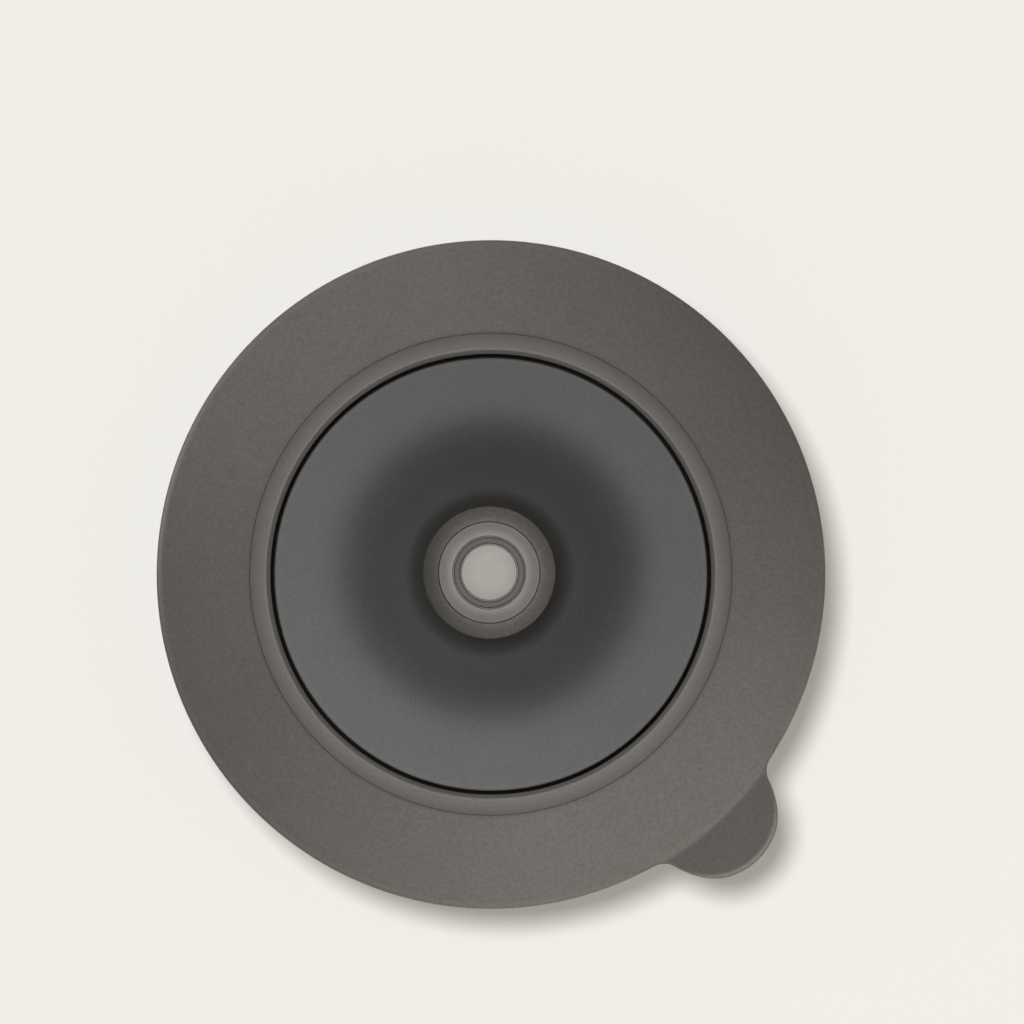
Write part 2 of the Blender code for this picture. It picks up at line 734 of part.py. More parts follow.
# Glossy disc with a shallow groove for its ring.
def make_knob_inlay(parent):
    inlay_radius = inlay_recess_radius - trim_gap
    groove_inner = trim_ring_radius - trim_ring_width / 2 - trim_gap
    groove_outer = trim_ring_radius + trim_ring_width / 2 + trim_gap
    groove_low = inlay_top + trim_ring_proud - trim_ring_height - trim_gap
    outline = [
        (0.0, inlay_low),
        (inlay_radius, inlay_low),
        (inlay_radius, inlay_top - inlay_edge_chamfer),
        (inlay_radius - inlay_edge_chamfer, inlay_top),
        (groove_outer, inlay_top),
        (groove_outer, groove_low),
        (groove_inner, groove_low),
        (groove_inner, inlay_top),
        (0.0, inlay_top),
    ]
    add_turned_piece("knob_inlay", outline, knob_sides, inlay_silver, parent)


def make_knob_trim_ring(parent):
    ring_top = inlay_top + trim_ring_proud
    ring_low = ring_top - trim_ring_height
    ring_inner = trim_ring_radius - trim_ring_width / 2
    ring_outer = trim_ring_radius + trim_ring_width / 2
    outline = [
        (ring_inner, ring_low),
        (ring_outer, ring_low),
        (ring_outer, ring_top - trim_ring_chamfer),
        (ring_outer - trim_ring_chamfer, ring_top),
        (ring_inner + trim_ring_chamfer, ring_top),
        (ring_inner, ring_top - trim_ring_chamfer),
    ]
    add_turned_piece("knob_trim_ring", outline, knob_sides, trim_grey, parent)


def build_strainer(parent):
    make_sealing_flange(parent)
    make_basket_ring(parent)
    make_strainer_basket(parent)


def build_guide(parent):
    make_guide_bush(parent)
    make_round_ring(
        "detent_ring", detent_ring_radius, detent_level, detent_ring_thickness, small_sides, seal_grey, parent
    )


def build_stopper(parent):
    make_stopper_shell(parent)
    make_stopper_seal(parent)
    make_seal_retainer(parent)
    make_stem(parent)
    stem_seal_level = retainer_low + fit_gap / 2 + stem_seal_thickness / 2
    make_round_ring(
        "stem_seal", stem_seal_radius, stem_seal_level, stem_seal_thickness, small_sides, seal_grey, parent
    )
    make_clamp_washer(parent)
    make_clamp_nut(parent)
    make_knob_core(parent)
    make_knob_grip(parent)
    make_knob_inlay(parent)
    make_knob_trim_ring(parent)


clear_scene()
strainer_frame = add_axis("strainer_frame")
spin_axis = add_axis("spin_axis", strainer_frame)
lift_axis = add_axis("lift_axis", spin_axis)
build_strainer(strainer_frame)
build_guide(spin_axis)
build_stopper(lift_axis)
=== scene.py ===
# Kitchen sink strainer with its lift-and-turn stopper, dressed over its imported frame. Metres, +Z up.
import math

import bmesh
import bpy
from mathutils import Matrix, Vector


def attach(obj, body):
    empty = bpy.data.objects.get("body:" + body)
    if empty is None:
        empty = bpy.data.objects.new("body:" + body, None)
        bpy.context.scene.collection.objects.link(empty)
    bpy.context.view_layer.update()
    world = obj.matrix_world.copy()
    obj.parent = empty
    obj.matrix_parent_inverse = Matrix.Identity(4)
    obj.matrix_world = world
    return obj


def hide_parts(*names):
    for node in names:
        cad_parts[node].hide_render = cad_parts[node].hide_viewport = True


print("Loading the frame")
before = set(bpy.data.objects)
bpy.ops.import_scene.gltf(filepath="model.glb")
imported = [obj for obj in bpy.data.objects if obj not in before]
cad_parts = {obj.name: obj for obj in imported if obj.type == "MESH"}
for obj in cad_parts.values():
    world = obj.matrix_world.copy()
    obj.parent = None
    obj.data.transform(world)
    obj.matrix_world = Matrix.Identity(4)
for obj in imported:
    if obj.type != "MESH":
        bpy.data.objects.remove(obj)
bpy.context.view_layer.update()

mm = 0.001
weldDistance = 0.001 * mm
largeSides = 192  # facets round the flange, ring, basket, shell and knob
smallSides = 96  # facets round the bush, stem, washer and nut
scene = bpy.context.scene


# An output of a node, as it stands in a formula. Each operation adds a Math node to the output's tree.
class Term:
    def __init__(self, socket):
        self.socket = socket

    def __add__(self, other):
        return maths("ADD", self, other)

    def __sub__(self, other):
        return maths("SUBTRACT", self, other)

    def __rsub__(self, other):
        return maths("SUBTRACT", other, self)

    def __mul__(self, other):
        return maths("MULTIPLY", self, other)

    def __truediv__(self, other):
        return maths("DIVIDE", self, other)

    def __pow__(self, power):
        return maths("POWER", self, power)


def setAll(item, settings):
    for name, value in settings.items():
        setattr(item, name, value)


def setInput(target, value):
    if isinstance(value, Term):
        target.id_data.links.new(value.socket, target)
    else:
        target.default_value = value


def addNode(tree, kind, inputs=None, **settings):
    node = tree.nodes.new(kind)
    setAll(node, settings)
    for name, value in (inputs or {}).items():
        setInput(node.inputs[name], value)
    return node


# Adds a node and gives one of its outputs.
def termOf(tree, kind, inputs=None, output=0, **settings):
    return Term(addNode(tree, kind, inputs, **settings).outputs[output])


def maths(operation, *values):
    tree = next(value.socket.id_data for value in values if isinstance(value, Term))
    return termOf(tree, "ShaderNodeMath", dict(enumerate(values)), operation=operation)


def vectorMaths(tree, operation, *values, output="Vector"):
    return termOf(tree, "ShaderNodeVectorMath", dict(enumerate(values)), output, operation=operation)


def splitVector(tree, vector):
    return [Term(part) for part in addNode(tree, "ShaderNodeSeparateXYZ", {0: vector}).outputs]


def joinVector(tree, x, y=0.0, z=0.0):
    return termOf(tree, "ShaderNodeCombineXYZ", {0: x, 1: y, 2: z})


# Lays the nodes out in columns from left to right, so that the tree can be read in the editor.
def tidyTree(tree):
    columns = {node.name: 0 for node in tree.nodes}
    changed = True
    while changed:
        changed = False
        for link in tree.links:
            needed = columns[link.from_node.name] + 1
            if columns[link.to_node.name] < needed:
                columns[link.to_node.name] = needed
                changed = True
    filled = {}
    for node in tree.nodes:
        column = columns[node.name]
        filled[column] = filled.get(column, 0) + 1
        node.location = (column * 200, -filled[column] * 180)


# Starts a node group with one output, and gives its inputs by name.
def startGroup(name, kind, inputs, output):
    tree = bpy.data.node_groups.new(name, kind)
    for label, socketKind, *value in inputs:
        socket = tree.interface.new_socket(label, in_out="INPUT", socket_type="NodeSocket" + socketKind)
        if value:
            socket.default_value = value[0]
    tree.interface.new_socket(output[0], in_out="OUTPUT", socket_type="NodeSocket" + output[1])
    return tree, {given.name: Term(given) for given in tree.nodes.new("NodeGroupInput").outputs}


def endGroup(tree, result):
    setInput(tree.nodes.new("NodeGroupOutput").inputs[0], result)
    tidyTree(tree)
    return tree


# Geometry node trees

def startGeometryTree(name, sizes, counts=()):
    inputs = [("Geometry", "Geometry")]
    inputs += [(label, "Float") for label in sizes]
    inputs += [(label, "Int") for label in counts]
    inputs.append(("Finish", "Material"))
    return startGroup(name, "GeometryNodeTree", inputs, ("Geometry", "Geometry"))


def endGeometryTree(tree, geometry, finish, weld=True):
    if weld:
        inputs = {"Geometry": geometry, "Distance": weldDistance}
        geometry = termOf(tree, "GeometryNodeMergeByDistance", inputs)
    smooth = termOf(tree, "GeometryNodeSetShadeSmooth", {"Geometry": geometry})
    realized = termOf(tree, "GeometryNodeRealizeInstances", {"Geometry": smooth})
    return endGroup(tree, termOf(tree, "GeometryNodeSetMaterial", {"Geometry": realized, "Material": finish}))


# Sweeps an outline round the Z axis. The outline lies with its radius along X and its height along -Y.
def makeTurnedBodyTree():
    tree, given = startGeometryTree("turnedBody", ["Swing Radius"], ["Sides"])
    swing = given["Swing Radius"]
    outline = termOf(tree, "GeometryNodeMeshToCurve", {"Mesh": given["Geometry"]})
    inward = joinVector(tree, swing * -1.0)
    profile = termOf(tree, "GeometryNodeSetPosition", {"Geometry": outline, "Offset": inward})
    path = termOf(tree, "GeometryNodeCurvePrimitiveCircle", {"Resolution": given["Sides"], "Radius": swing})
    upright = termOf(tree, "GeometryNodeSetCurveNormal", {"Curve": path}, mode="Z_UP")
    swept = termOf(tree, "GeometryNodeCurveToMesh", {"Curve": upright, "Profile Curve": profile})
    return endGeometryTree(tree, swept, given["Finish"])


# Repeats a shape evenly round the Z axis and joins the copies where their borders meet.
def makeRingOfCopiesTree():
    tree, given = startGeometryTree("ringOfCopies", [], ["Count"])
    points = termOf(tree, "GeometryNodePoints", {"Count": given["Count"]})
    turn = termOf(tree, "GeometryNodeInputIndex") * math.tau / given["Count"]
    rotation = termOf(tree, "FunctionNodeEulerToRotation", {"Euler": joinVector(tree, 0.0, 0.0, turn)})
    inputs = {"Points": points, "Instance": given["Geometry"], "Rotation": rotation}
    copies = termOf(tree, "GeometryNodeInstanceOnPoints", inputs)
    realized = termOf(tree, "GeometryNodeRealizeInstances", {"Geometry": copies})
    return endGeometryTree(tree, realized, given["Finish"])


def clamped(value, most):
    return maths("MINIMUM", maths("MAXIMUM", value, 0.0), most)


# Height that an arc gains between two slopes at an inset from its start, and the arc's width.
def arcRise(inset, arcRadius, slopeIn, slopeOut):
    sineIn = maths("SINE", slopeIn)
    width = arcRadius * (maths("SINE", slopeOut) - sineIn)
    across = arcRadius * sineIn + clamped(inset, width)
    drop = maths("SQRT", arcRadius ** 2.0 - across ** 2.0)
    return arcRadius * maths("COSINE", slopeIn) - drop, width


# The stopper's upper surface: a flat rim, an arc that turns up into a short flank, a tighter arc that
# turns it up into the throat, and a flat neck. Row by row, from the hole in the neck out to the rim.
def makeBellSurfaceTree():
    sizes = [
        "Rim Radius", "Flat Radius", "Arc Radius", "Slope", "Throat Start", "Throat Arc", "Throat Slope",
        "Neck Radius", "Hole Radius", "Disc Height",
    ]
    tree, given = startGeometryTree("bellSurface", sizes, ["Rows", "Sides"])
    columns = given["Sides"] + 1.0
    grid = termOf(tree, "GeometryNodeMeshGrid", {"Vertices X": given["Rows"], "Vertices Y": columns})
    index = termOf(tree, "GeometryNodeInputIndex")
    row = maths("FLOOR", (index + 0.5) / columns)
    column = index - row * columns
    span = given["Rim Radius"] - given["Hole Radius"]
    radius = row / (given["Rows"] - 1.0) * span + given["Hole Radius"]

    slope, throatSlope = given["Slope"], given["Throat Slope"]
    level = slope * 0.0
    inset = given["Flat Radius"] - radius
    bell, bellWidth = arcRise(inset, given["Arc Radius"], level, slope)
    flankWidth = given["Flat Radius"] - bellWidth - given["Throat Start"]
    flank = maths("TANGENT", slope) * clamped(inset - bellWidth, flankWidth)
    throatInset = given["Throat Start"] - radius
    throat, throatWidth = arcRise(throatInset, given["Throat Arc"], slope, throatSlope)
    neckWidth = given["Throat Start"] - throatWidth - given["Neck Radius"]
    neck = maths("TANGENT", throatSlope) * clamped(throatInset - throatWidth, neckWidth)
    height = given["Disc Height"] + bell + flank + throat + neck

    turn = column * math.tau / given["Sides"]
    position = joinVector(tree, radius * maths("COSINE", turn), radius * maths("SINE", turn), height)
    shaped = termOf(tree, "GeometryNodeSetPosition", {"Geometry": grid, "Position": position})
    return endGeometryTree(tree, shaped, given["Finish"])


# Cuts a helical thread into a round post between two heights, by drawing its surface inwards.
def makeCutThreadTree():
    sizes = ["Post Radius", "Low", "High", "Pitch", "Depth", "Steepness"]
    tree, given = startGeometryTree("cutThread", sizes)
    x, y, z = splitVector(tree, termOf(tree, "GeometryNodeInputPosition"))
    turns = maths("ARCTAN2", y, x) / math.tau
    wave = maths("ABSOLUTE", maths("FRACT", z / given["Pitch"] - turns) - 0.5)
    cut = maths("MINIMUM", wave * given["Steepness"], 1.0)
    fadeLow = (z - given["Low"]) / given["Pitch"]
    fadeHigh = (given["High"] - z) / given["Pitch"]
    fade = clamped(maths("MINIMUM", fadeLow, fadeHigh), 1.0)
    shrink = 1.0 - cut * fade * given["Depth"] / given["Post Radius"]
    position = joinVector(tree, x * shrink, y * shrink, z)
    cutPost = termOf(tree, "GeometryNodeSetPosition", {"Geometry": given["Geometry"], "Position": position})
    return endGeometryTree(tree, cutPost, given["Finish"], weld=False)


print("Building the geometry trees")
turnedBodyTree = makeTurnedBodyTree()
ringOfCopiesTree = makeRingOfCopiesTree()
bellSurfaceTree = makeBellSurfaceTree()
cutThreadTree = makeCutThreadTree()


# Meshes and objects

def newObject(name, mesh):
    made = bpy.data.objects.new(name, mesh)
    scene.collection.objects.link(made)
    return made


# Joins loops of points, in millimetres, by four-sided faces, and closes both ends of a capped stack.
def loopsMesh(name, loops, capped=True):
    count = len(loops[0])
    last = count * (len(loops) - 1)
    faces = []
    for first in range(0, last, count):
        for index in range(count):
            here, follower = first + index, first + (index + 1) % count
            faces.append((here, follower, count + follower, count + here))
    if capped:
        faces += [tuple(reversed(range(count))), tuple(range(last, last + count))]
    mesh = bpy.data.meshes.new(name)
    mesh.from_pydata([tuple(value * mm for value in point) for loop in loops for point in loop], [], faces)
    return mesh


def prismMesh(name, outline, low, high):
    return loopsMesh(name, [[(*point, height) for point in outline] for height in (low, high)])


# Ends the work on a bmesh and gives it as a mesh.
def meshOf(name, worked):
    mesh = bpy.data.meshes.new(name)
    worked.to_mesh(mesh)
    worked.free()
    return mesh


def addModifier(item, kind, **settings):
    setAll(item.modifiers.new(kind, kind), settings)


def plainMesh(item):
    bpy.context.view_layer.update()
    graph = bpy.context.evaluated_depsgraph_get()
    return bpy.data.meshes.new_from_object(item.evaluated_get(graph), depsgraph=graph)


# Replaces an object's modifiers by their result.
def applyModifiers(item):
    item.data = plainMesh(item)
    item.modifiers.clear()


# Runs a geometry tree on a mesh and gives the result as a plain mesh.
def runTree(tree, mesh, values):
    carrier = newObject("carrier", mesh)
    modifier = carrier.modifiers.new("nodes", "NODES")
    modifier.node_group = tree
    for item in tree.interface.items_tree:
        if item.item_type == "SOCKET" and item.in_out == "INPUT" and item.name in values:
            modifier[item.identifier] = values[item.name]
    result = plainMesh(carrier)
    bpy.data.objects.remove(carrier, do_unlink=True)
    return result


# Joins meshes, welds their common borders and turns the faces outwards.
def joinMeshes(name, meshes, finish):
    joined = bmesh.new()
    for mesh in meshes:
        joined.from_mesh(mesh)
    bmesh.ops.remove_doubles(joined, verts=joined.verts, dist=weldDistance)
    bmesh.ops.recalc_face_normals(joined, faces=joined.faces)
    data = meshOf(name, joined)
    data.shade_smooth()
    data.materials.clear()
    data.materials.append(finish)
    for face in data.polygons:
        face.material_index = 0
    return data


# A piece stands for one node of the frame, on the node's body; the node itself is hidden.
def dress(piece, body, node):
    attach(piece, body)
    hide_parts(node)


# Outlines, in millimetres

# reachShare is the share of an edge that one rounding may use. A support point beside each rounding
# keeps the flat next to it evenly shaded. Straights are divided at the longest step.
outlineRules = {"reachShare": 0.48, "supportShare": 0.35, "supportMost": 0.12, "longest": 4.0}
swingRadius = 20.0  # of the circle that outlines are swept along


def polar(angle, radius):
    return Vector((math.cos(angle), math.sin(angle))) * radius


# Corners as (radius, height, rounding), where a name stands for that size of the piece.
def cornersOf(sizes, rows):
    return [tuple(sizes[entry] if isinstance(entry, str) else entry for entry in row) for row in rows]


# Corners of a groove or ridge across a straight. Its tip stands off by reach, and the roundings are
# those of its sides and its tip. Where it is level, the straight is a height and the place a radius.
def veeCorners(straight, place, half, reach, roundings, level=False):
    side, tip = roundings
    corners = [(straight, place - half, side), (straight + reach, place, tip), (straight, place + half, side)]
    return [(b, a, rounding) if level else (a, b, rounding) for a, b, rounding in corners]


# A rounded edge from its flat to its side, as how far each point lies in from both.
def quarterCurl(edge, steps):
    turns = [math.radians(90 * step / steps) for step in range(steps + 1)]
    return [(edge * (1 - math.sin(turn)), edge * (1 - math.cos(turn))) for turn in turns]


# Rounds the corners of an outline and divides its long straights.
def roundOutline(corners, closed=True, steps=5):
    count = len(corners)
    points = []
    for index, (radius, height, rounding) in enumerate(corners):
        here = Vector((radius, height))
        atEnd = not closed and index in (0, count - 1)
        if rounding == 0 or atEnd:
            points.append(here)
            continue
        before = Vector(corners[index - 1][:2]) - here
        after = Vector(corners[(index + 1) % count][:2]) - here
        toBefore = before.normalized()
        toAfter = after.normalized()
        half = toBefore.angle(toAfter) / 2
        shorter = min(before.length, after.length)
        reach = min(rounding / math.tan(half), shorter * outlineRules["reachShare"])
        arcRadius = reach * math.tan(half)
        centre = here + (toBefore + toAfter).normalized() * arcRadius / math.sin(half)
        start = here + toBefore * reach
        stop = here + toAfter * reach
        first = math.atan2(start.y - centre.y, start.x - centre.x)
        last = math.atan2(stop.y - centre.y, stop.x - centre.x)
        sweep = (last - first + math.pi) % math.tau - math.pi
        support = min(arcRadius * outlineRules["supportShare"], outlineRules["supportMost"])
        if before.length > reach + 2 * support:
            points.append(start + toBefore * support)
        for step in range(steps + 1):
            points.append(centre + polar(first + sweep * step / steps, arcRadius))
        if after.length > reach + 2 * support:
            points.append(stop + toAfter * support)
    divided = []
    for index, point in enumerate(points):
        divided.append(point)
        if not closed and index == len(points) - 1:
            break
        follower = points[(index + 1) % len(points)]
        parts = math.ceil((follower - point).length / outlineRules["longest"])
        divided += [point.lerp(follower, part / parts) for part in range(1, parts)]
    return divided


# Turns outlines, each of them points and whether they close, round the Z axis.
def turnOutlines(outlines, sides, finish):
    vertices = []
    edges = []
    for points, closed in outlines:
        first = len(vertices)
        vertices += [(point.x * mm, -point.y * mm, 0.0) for point in points]
        edges += [(first + i, first + i + 1) for i in range(len(points) - 1)]
        if closed:
            edges.append((len(vertices) - 1, first))
    mesh = bpy.data.meshes.new("outline")
    mesh.from_pydata(vertices, edges, [])
    return runTree(turnedBodyTree, mesh, {"Swing Radius": swingRadius * mm, "Sides": sides, "Finish": finish})


def turnedPiece(name, corners, sides, finish, closed=True, steps=5):
    mesh = turnOutlines([(roundOutline(corners, closed, steps), closed)], sides, finish)
    return newObject(name, joinMeshes(name, [mesh], finish))


# Part of a circle, or of an ellipse where its rise is given, as outline corners without rounding.
def arcOutline(centreRadius, centreHeight, radius, start, stop, steps, rise=None):
    points = []
    for step in range(steps + 1):
        angle = math.radians(start + (stop - start) * step / steps)
        height = centreHeight + (rise or radius) * math.sin(angle)
        points.append((centreRadius + radius * math.cos(angle), height, 0))
    return points


# Shader groups, each with the surface's own coordinates as Vector

noiseGain = 4.0  # noise stays within about a quarter of its middle value
fleckGain = 1.25  # brings the palest flecks of the dust to about 1


def startShaderGroup(name, inputs, output):
    return startGroup(name, "ShaderNodeTree", [("Vector", "Vector")] + inputs, output)


def noiseOf(tree, vector, size, detail, roughness):
    scale = maths("DIVIDE", 1.0, size)
    inputs = {"Vector": vector, "Scale": scale, "Detail": detail, "Roughness": roughness}
    return termOf(tree, "ShaderNodeTexNoise", inputs)


def axisDistance(tree, vector):
    flat = vectorMaths(tree, "MULTIPLY", vector, (1.0, 1.0, 0.0))
    return vectorMaths(tree, "LENGTH", flat, output="Value")


def softStep(tree, value, start, stop):
    inputs = {"Value": value, "From Min": start, "From Max": stop}
    return termOf(tree, "ShaderNodeMapRange", inputs, interpolation_type="SMOOTHSTEP")


# Tints a colour unevenly: fine specks and large soft clouds.
def makeMottledTint():
    inputs = [
        ("Colour", "Color", (0.1, 0.1, 0.1, 1.0)),
        ("Speck Size", "Float", 0.0004), ("Speck Strength", "Float", 0.06),
        ("Cloud Size", "Float", 0.02), ("Cloud Strength", "Float", 0.04),
    ]
    group, given = startShaderGroup("mottledTint", inputs, ("Colour", "Color"))
    specks = noiseOf(group, given["Vector"], given["Speck Size"], 3.0, 0.6) - 0.5
    clouds = noiseOf(group, given["Vector"], given["Cloud Size"], 2.0, 0.5) - 0.5
    shift = specks * given["Speck Strength"] + clouds * given["Cloud Strength"]
    return endGroup(group, vectorMaths(group, "MULTIPLY", given["Colour"], shift * noiseGain + 1.0))


# Height of a fine moulded or bead-blasted grain.
def makeFineGrain():
    inputs = [("Grain Size", "Float", 0.0003), ("Unevenness", "Float", 0.3), ("Broader", "Float", 14.0)]
    group, given = startShaderGroup("fineGrain", inputs, ("Height", "Float"))
    grain = noiseOf(group, given["Vector"], given["Grain Size"], 2.0, 0.55)
    broad = noiseOf(group, given["Vector"], given["Grain Size"] * given["Broader"], 1.0, 0.5)
    return endGroup(group, broad * given["Unevenness"] + grain)


# Soft mask of a band at a distance from an upright line.
def makeRimMask():
    inputs = [("Centre", "Vector", (0.0, 0.0, 0.0)), ("Radius", "Float", 0.05), ("Width", "Float", 0.001)]
    group, given = startShaderGroup("rimMask", inputs, ("Mask", "Float"))
    moved = vectorMaths(group, "SUBTRACT", given["Vector"], given["Centre"])
    offset = maths("ABSOLUTE", axisDistance(group, moved) - given["Radius"])
    return endGroup(group, softStep(group, offset, given["Width"], 0.0))


# Soft mask of what lies between two radii and below a level.
def makeHollowMask():
    inputs = [
        ("Inner", "Float", 0.0365), ("Outer", "Float", 0.0378),
        ("Level", "Float", 0.037), ("Fade", "Float", 0.0005),
    ]
    group, given = startShaderGroup("hollowMask", inputs, ("Mask", "Float"))
    fade = given["Fade"]
    distance = axisDistance(group, given["Vector"])
    height = splitVector(group, given["Vector"])[2]
    inside = softStep(group, distance, given["Outer"] + fade, given["Outer"])
    outside = softStep(group, distance, given["Inner"] - fade, given["Inner"])
    below = softStep(group, height, given["Level"], given["Level"] - fade)
    return endGroup(group, inside * outside * below)


# Soft mask of what lies farther from the upright axis than a radius.
def makeOutsideMask():
    inputs = [("Start", "Float", 0.05), ("Fade", "Float", 0.0003)]
    group, given = startShaderGroup("outsideMask", inputs, ("Mask", "Float"))
    distance = axisDistance(group, given["Vector"])
    return endGroup(group, softStep(group, distance, given["Start"], given["Start"] + given["Fade"]))


# Painted light on rubber and satin plastic: a factor on the colour that paints it paler towards one side, and
# along one line more than across it.
def makePaintedLightGradient():
    inputs = [
        ("Direction", "Vector", (1.0, 0.0, 0.0)), ("Reach", "Float", 0.05),
        ("Lean", "Float", 0.1), ("Stretch", "Float", 0.1),
    ]
    group, given = startShaderGroup("paintedLightGradient", inputs, ("Factor", "Float"))
    along = vectorMaths(group, "DOT_PRODUCT", given["Vector"], given["Direction"], output="Value")
    share = along / given["Reach"]
    outward = (axisDistance(group, given["Vector"]) / given["Reach"]) ** 2.0
    stretch = (share * share * 2.0 - outward) * given["Stretch"]
    return endGroup(group, share * given["Lean"] + stretch + 1.0)


# Height of the fine rings that a lathe or a polishing wheel leaves, round the axis and along it.
def makeTurnedLines():
    inputs = [("Pitch", "Float", 0.0002), ("Along", "Float", 0.0)]
    group, given = startShaderGroup("turnedLines", inputs, ("Height", "Float"))
    height = splitVector(group, given["Vector"])[2]
    line = joinVector(group, height * given["Along"] + axisDistance(group, given["Vector"]))
    return endGroup(group, noiseOf(group, line, given["Pitch"], 2.0, 0.6))


# Uneven gloss, from handling and wiping.
def makeWipedGloss():
    inputs = [("Roughness", "Float", 0.5), ("Change", "Float", 0.08), ("Patch Size", "Float", 0.008)]
    group, given = startShaderGroup("wipedGloss", inputs, ("Roughness", "Float"))
    patches = noiseOf(group, given["Vector"], given["Patch Size"], 3.0, 0.6) - 0.5
    return endGroup(group, patches * given["Change"] * 2.0 + given["Roughness"])


# Thin dust that settles on faces that look up.
def makeSettledDust():
    inputs = [("Amount", "Float", 0.1), ("Fleck Size", "Float", 0.0006)]
    group, given = startShaderGroup("settledDust", inputs, ("Mask", "Float"))
    normal = termOf(group, "ShaderNodeNewGeometry", output="Normal")
    up = maths("MAXIMUM", splitVector(group, normal)[2], 0.0)
    flecks = noiseOf(group, given["Vector"], given["Fleck Size"], 4.0, 0.7)
    return endGroup(group, (flecks * fleckGain) ** 3.0 * up * given["Amount"])


print("Building the finishes")
mottledTint = makeMottledTint()
fineGrain = makeFineGrain()
rimMask = makeRimMask()
hollowMask = makeHollowMask()
outsideMask = makeOutsideMask()
paintedLightGradient = makePaintedLightGradient()
turnedLines = makeTurnedLines()
wipedGloss = makeWipedGloss()
settledDust = makeSettledDust()


# Finishes. A look's sizes are in millimetres: gloss is (roughness, change), specks and clouds are (size,
# strength), and grain is (size, strength, depth).

dustTint = (0.45, 0.43, 0.39)


def opaque(colour):
    return (*colour, 1.0)


def useGroup(tree, group, inputs):
    return termOf(tree, "ShaderNodeGroup", inputs, node_tree=group)


# 6 and 7 are the colours that a Mix node takes, and 2 the one that it gives.
def blendColours(tree, mask, low, high):
    return termOf(tree, "ShaderNodeMix", {0: mask, 6: low, 7: high}, 2, data_type="RGBA")


def mottle(tree, place, colour, look):
    inputs = {"Vector": place, "Colour": colour}
    for label, key in (("Speck", "specks"), ("Cloud", "clouds")):
        size, strength = look[key]
        inputs.update({label + " Size": size * mm, label + " Strength": strength})
    return useGroup(tree, mottledTint, inputs)


# Colour and roughness of a finish: each layer where its mask lays it, then mottling, then the painted light
# gradient.
def layFinish(tree, place, look):
    roughness, change = look["gloss"]
    rough = useGroup(tree, wipedGloss, {"Vector": place, "Roughness": roughness, "Change": change})
    colour = opaque(look["colour"])
    for layer in look.get("layers", ()):
        mask = useGroup(tree, layer["mask"], {"Vector": place, **layer["inputs"]})
        if "within" in layer:
            mask = mask * useGroup(tree, layer["within"], {"Vector": place, **layer["bounds"]})
        colour = blendColours(tree, mask * layer["strength"], colour, opaque(layer["tint"]))
        if "roughShift" in layer:
            rough = mask * layer["roughShift"] + rough
    colour = mottle(tree, place, colour, look)
    # painted light: the colour is painted paler towards one side and darker towards the other
    if "paintedGradient" in look:
        paintedGradient = useGroup(tree, paintedLightGradient, {"Vector": place, **look["paintedGradient"]})
        colour = vectorMaths(tree, "MULTIPLY", colour, paintedGradient)
    return colour, rough


def startMaterial(name, look):
    material = bpy.data.materials.new(name)
    material.use_nodes = True
    material.diffuse_color = opaque(look["colour"])
    tree = material.node_tree
    shaderInputs = tree.nodes["Principled BSDF"].inputs
    for label, value in look.get("fixed", {}).items():
        shaderInputs[label].default_value = value
    return material, tree, shaderInputs, termOf(tree, "ShaderNodeTexCoord", output="Object")


def endMaterial(tree, shaderInputs, colour, rough, height, strength, depth):
    setInput(shaderInputs["Base Color"], colour)
    setInput(shaderInputs["Roughness"], rough)
    inputs = {"Height": height, "Strength": strength, "Distance": depth * mm}
    setInput(shaderInputs["Normal"], termOf(tree, "ShaderNodeBump", inputs))
    tidyTree(tree)


# A moulded plastic or rubber, with a little dust and a fine grain.
def makeMoulded(name, look):
    material, tree, shaderInputs, place = startMaterial(name, look)
    colour, rough = layFinish(tree, place, look)
    dust = useGroup(tree, settledDust, {"Vector": place, "Amount": look["dust"]})
    dusty = blendColours(tree, dust, colour, opaque(dustTint))
    size, strength, depth = look["grain"]
    grain = useGroup(tree, fineGrain, {"Vector": place, "Grain Size": size * mm})
    endMaterial(tree, shaderInputs, dusty, rough, grain, strength, depth)
    return material


# A turned or wheel-polished metal: fine rings in the height and the gloss.
def makeTurnedMetal(name, look):
    material, tree, shaderInputs, place = startMaterial(name, look)
    colour, rough = layFinish(tree, place, look)
    rings = look["rings"]
    inputs = {"Vector": place, "Pitch": rings["pitch"] * mm, "Along": rings["along"]}
    lines = useGroup(tree, turnedLines, inputs)
    lined = lines * rings["gloss"] + rough
    endMaterial(tree, shaderInputs, colour, lined, lines, rings["strength"], rings["depth"])
    return material


def levelDirection(degrees):
    return (math.cos(math.radians(degrees)), math.sin(math.radians(degrees)), 0.0)


# Settings of the painted light gradient, which paints a finish paler towards one side.
def paintedGradientOf(direction, reach, lean, stretch):
    return {"Direction": levelDirection(direction), "Reach": reach * mm, "Lean": lean, "Stretch": stretch}


# A tint in a band round an upright line.
def bandLayer(radius, width, strength, tint, centre=(0.0, 0.0, 0.0), **more):
    inputs = {"Centre": centre, "Radius": radius * mm, "Width": width * mm}
    return {"mask": rimMask, "inputs": inputs, "strength": strength, "tint": tint, **more}


tabTurn = -47.15  # direction of the pull tab, in degrees from +X
tabCentre = 54.7  # distance of the tab's round from the axis, in millimetres
tabMiddle = [tabCentre * mm * share for share in levelDirection(tabTurn)]

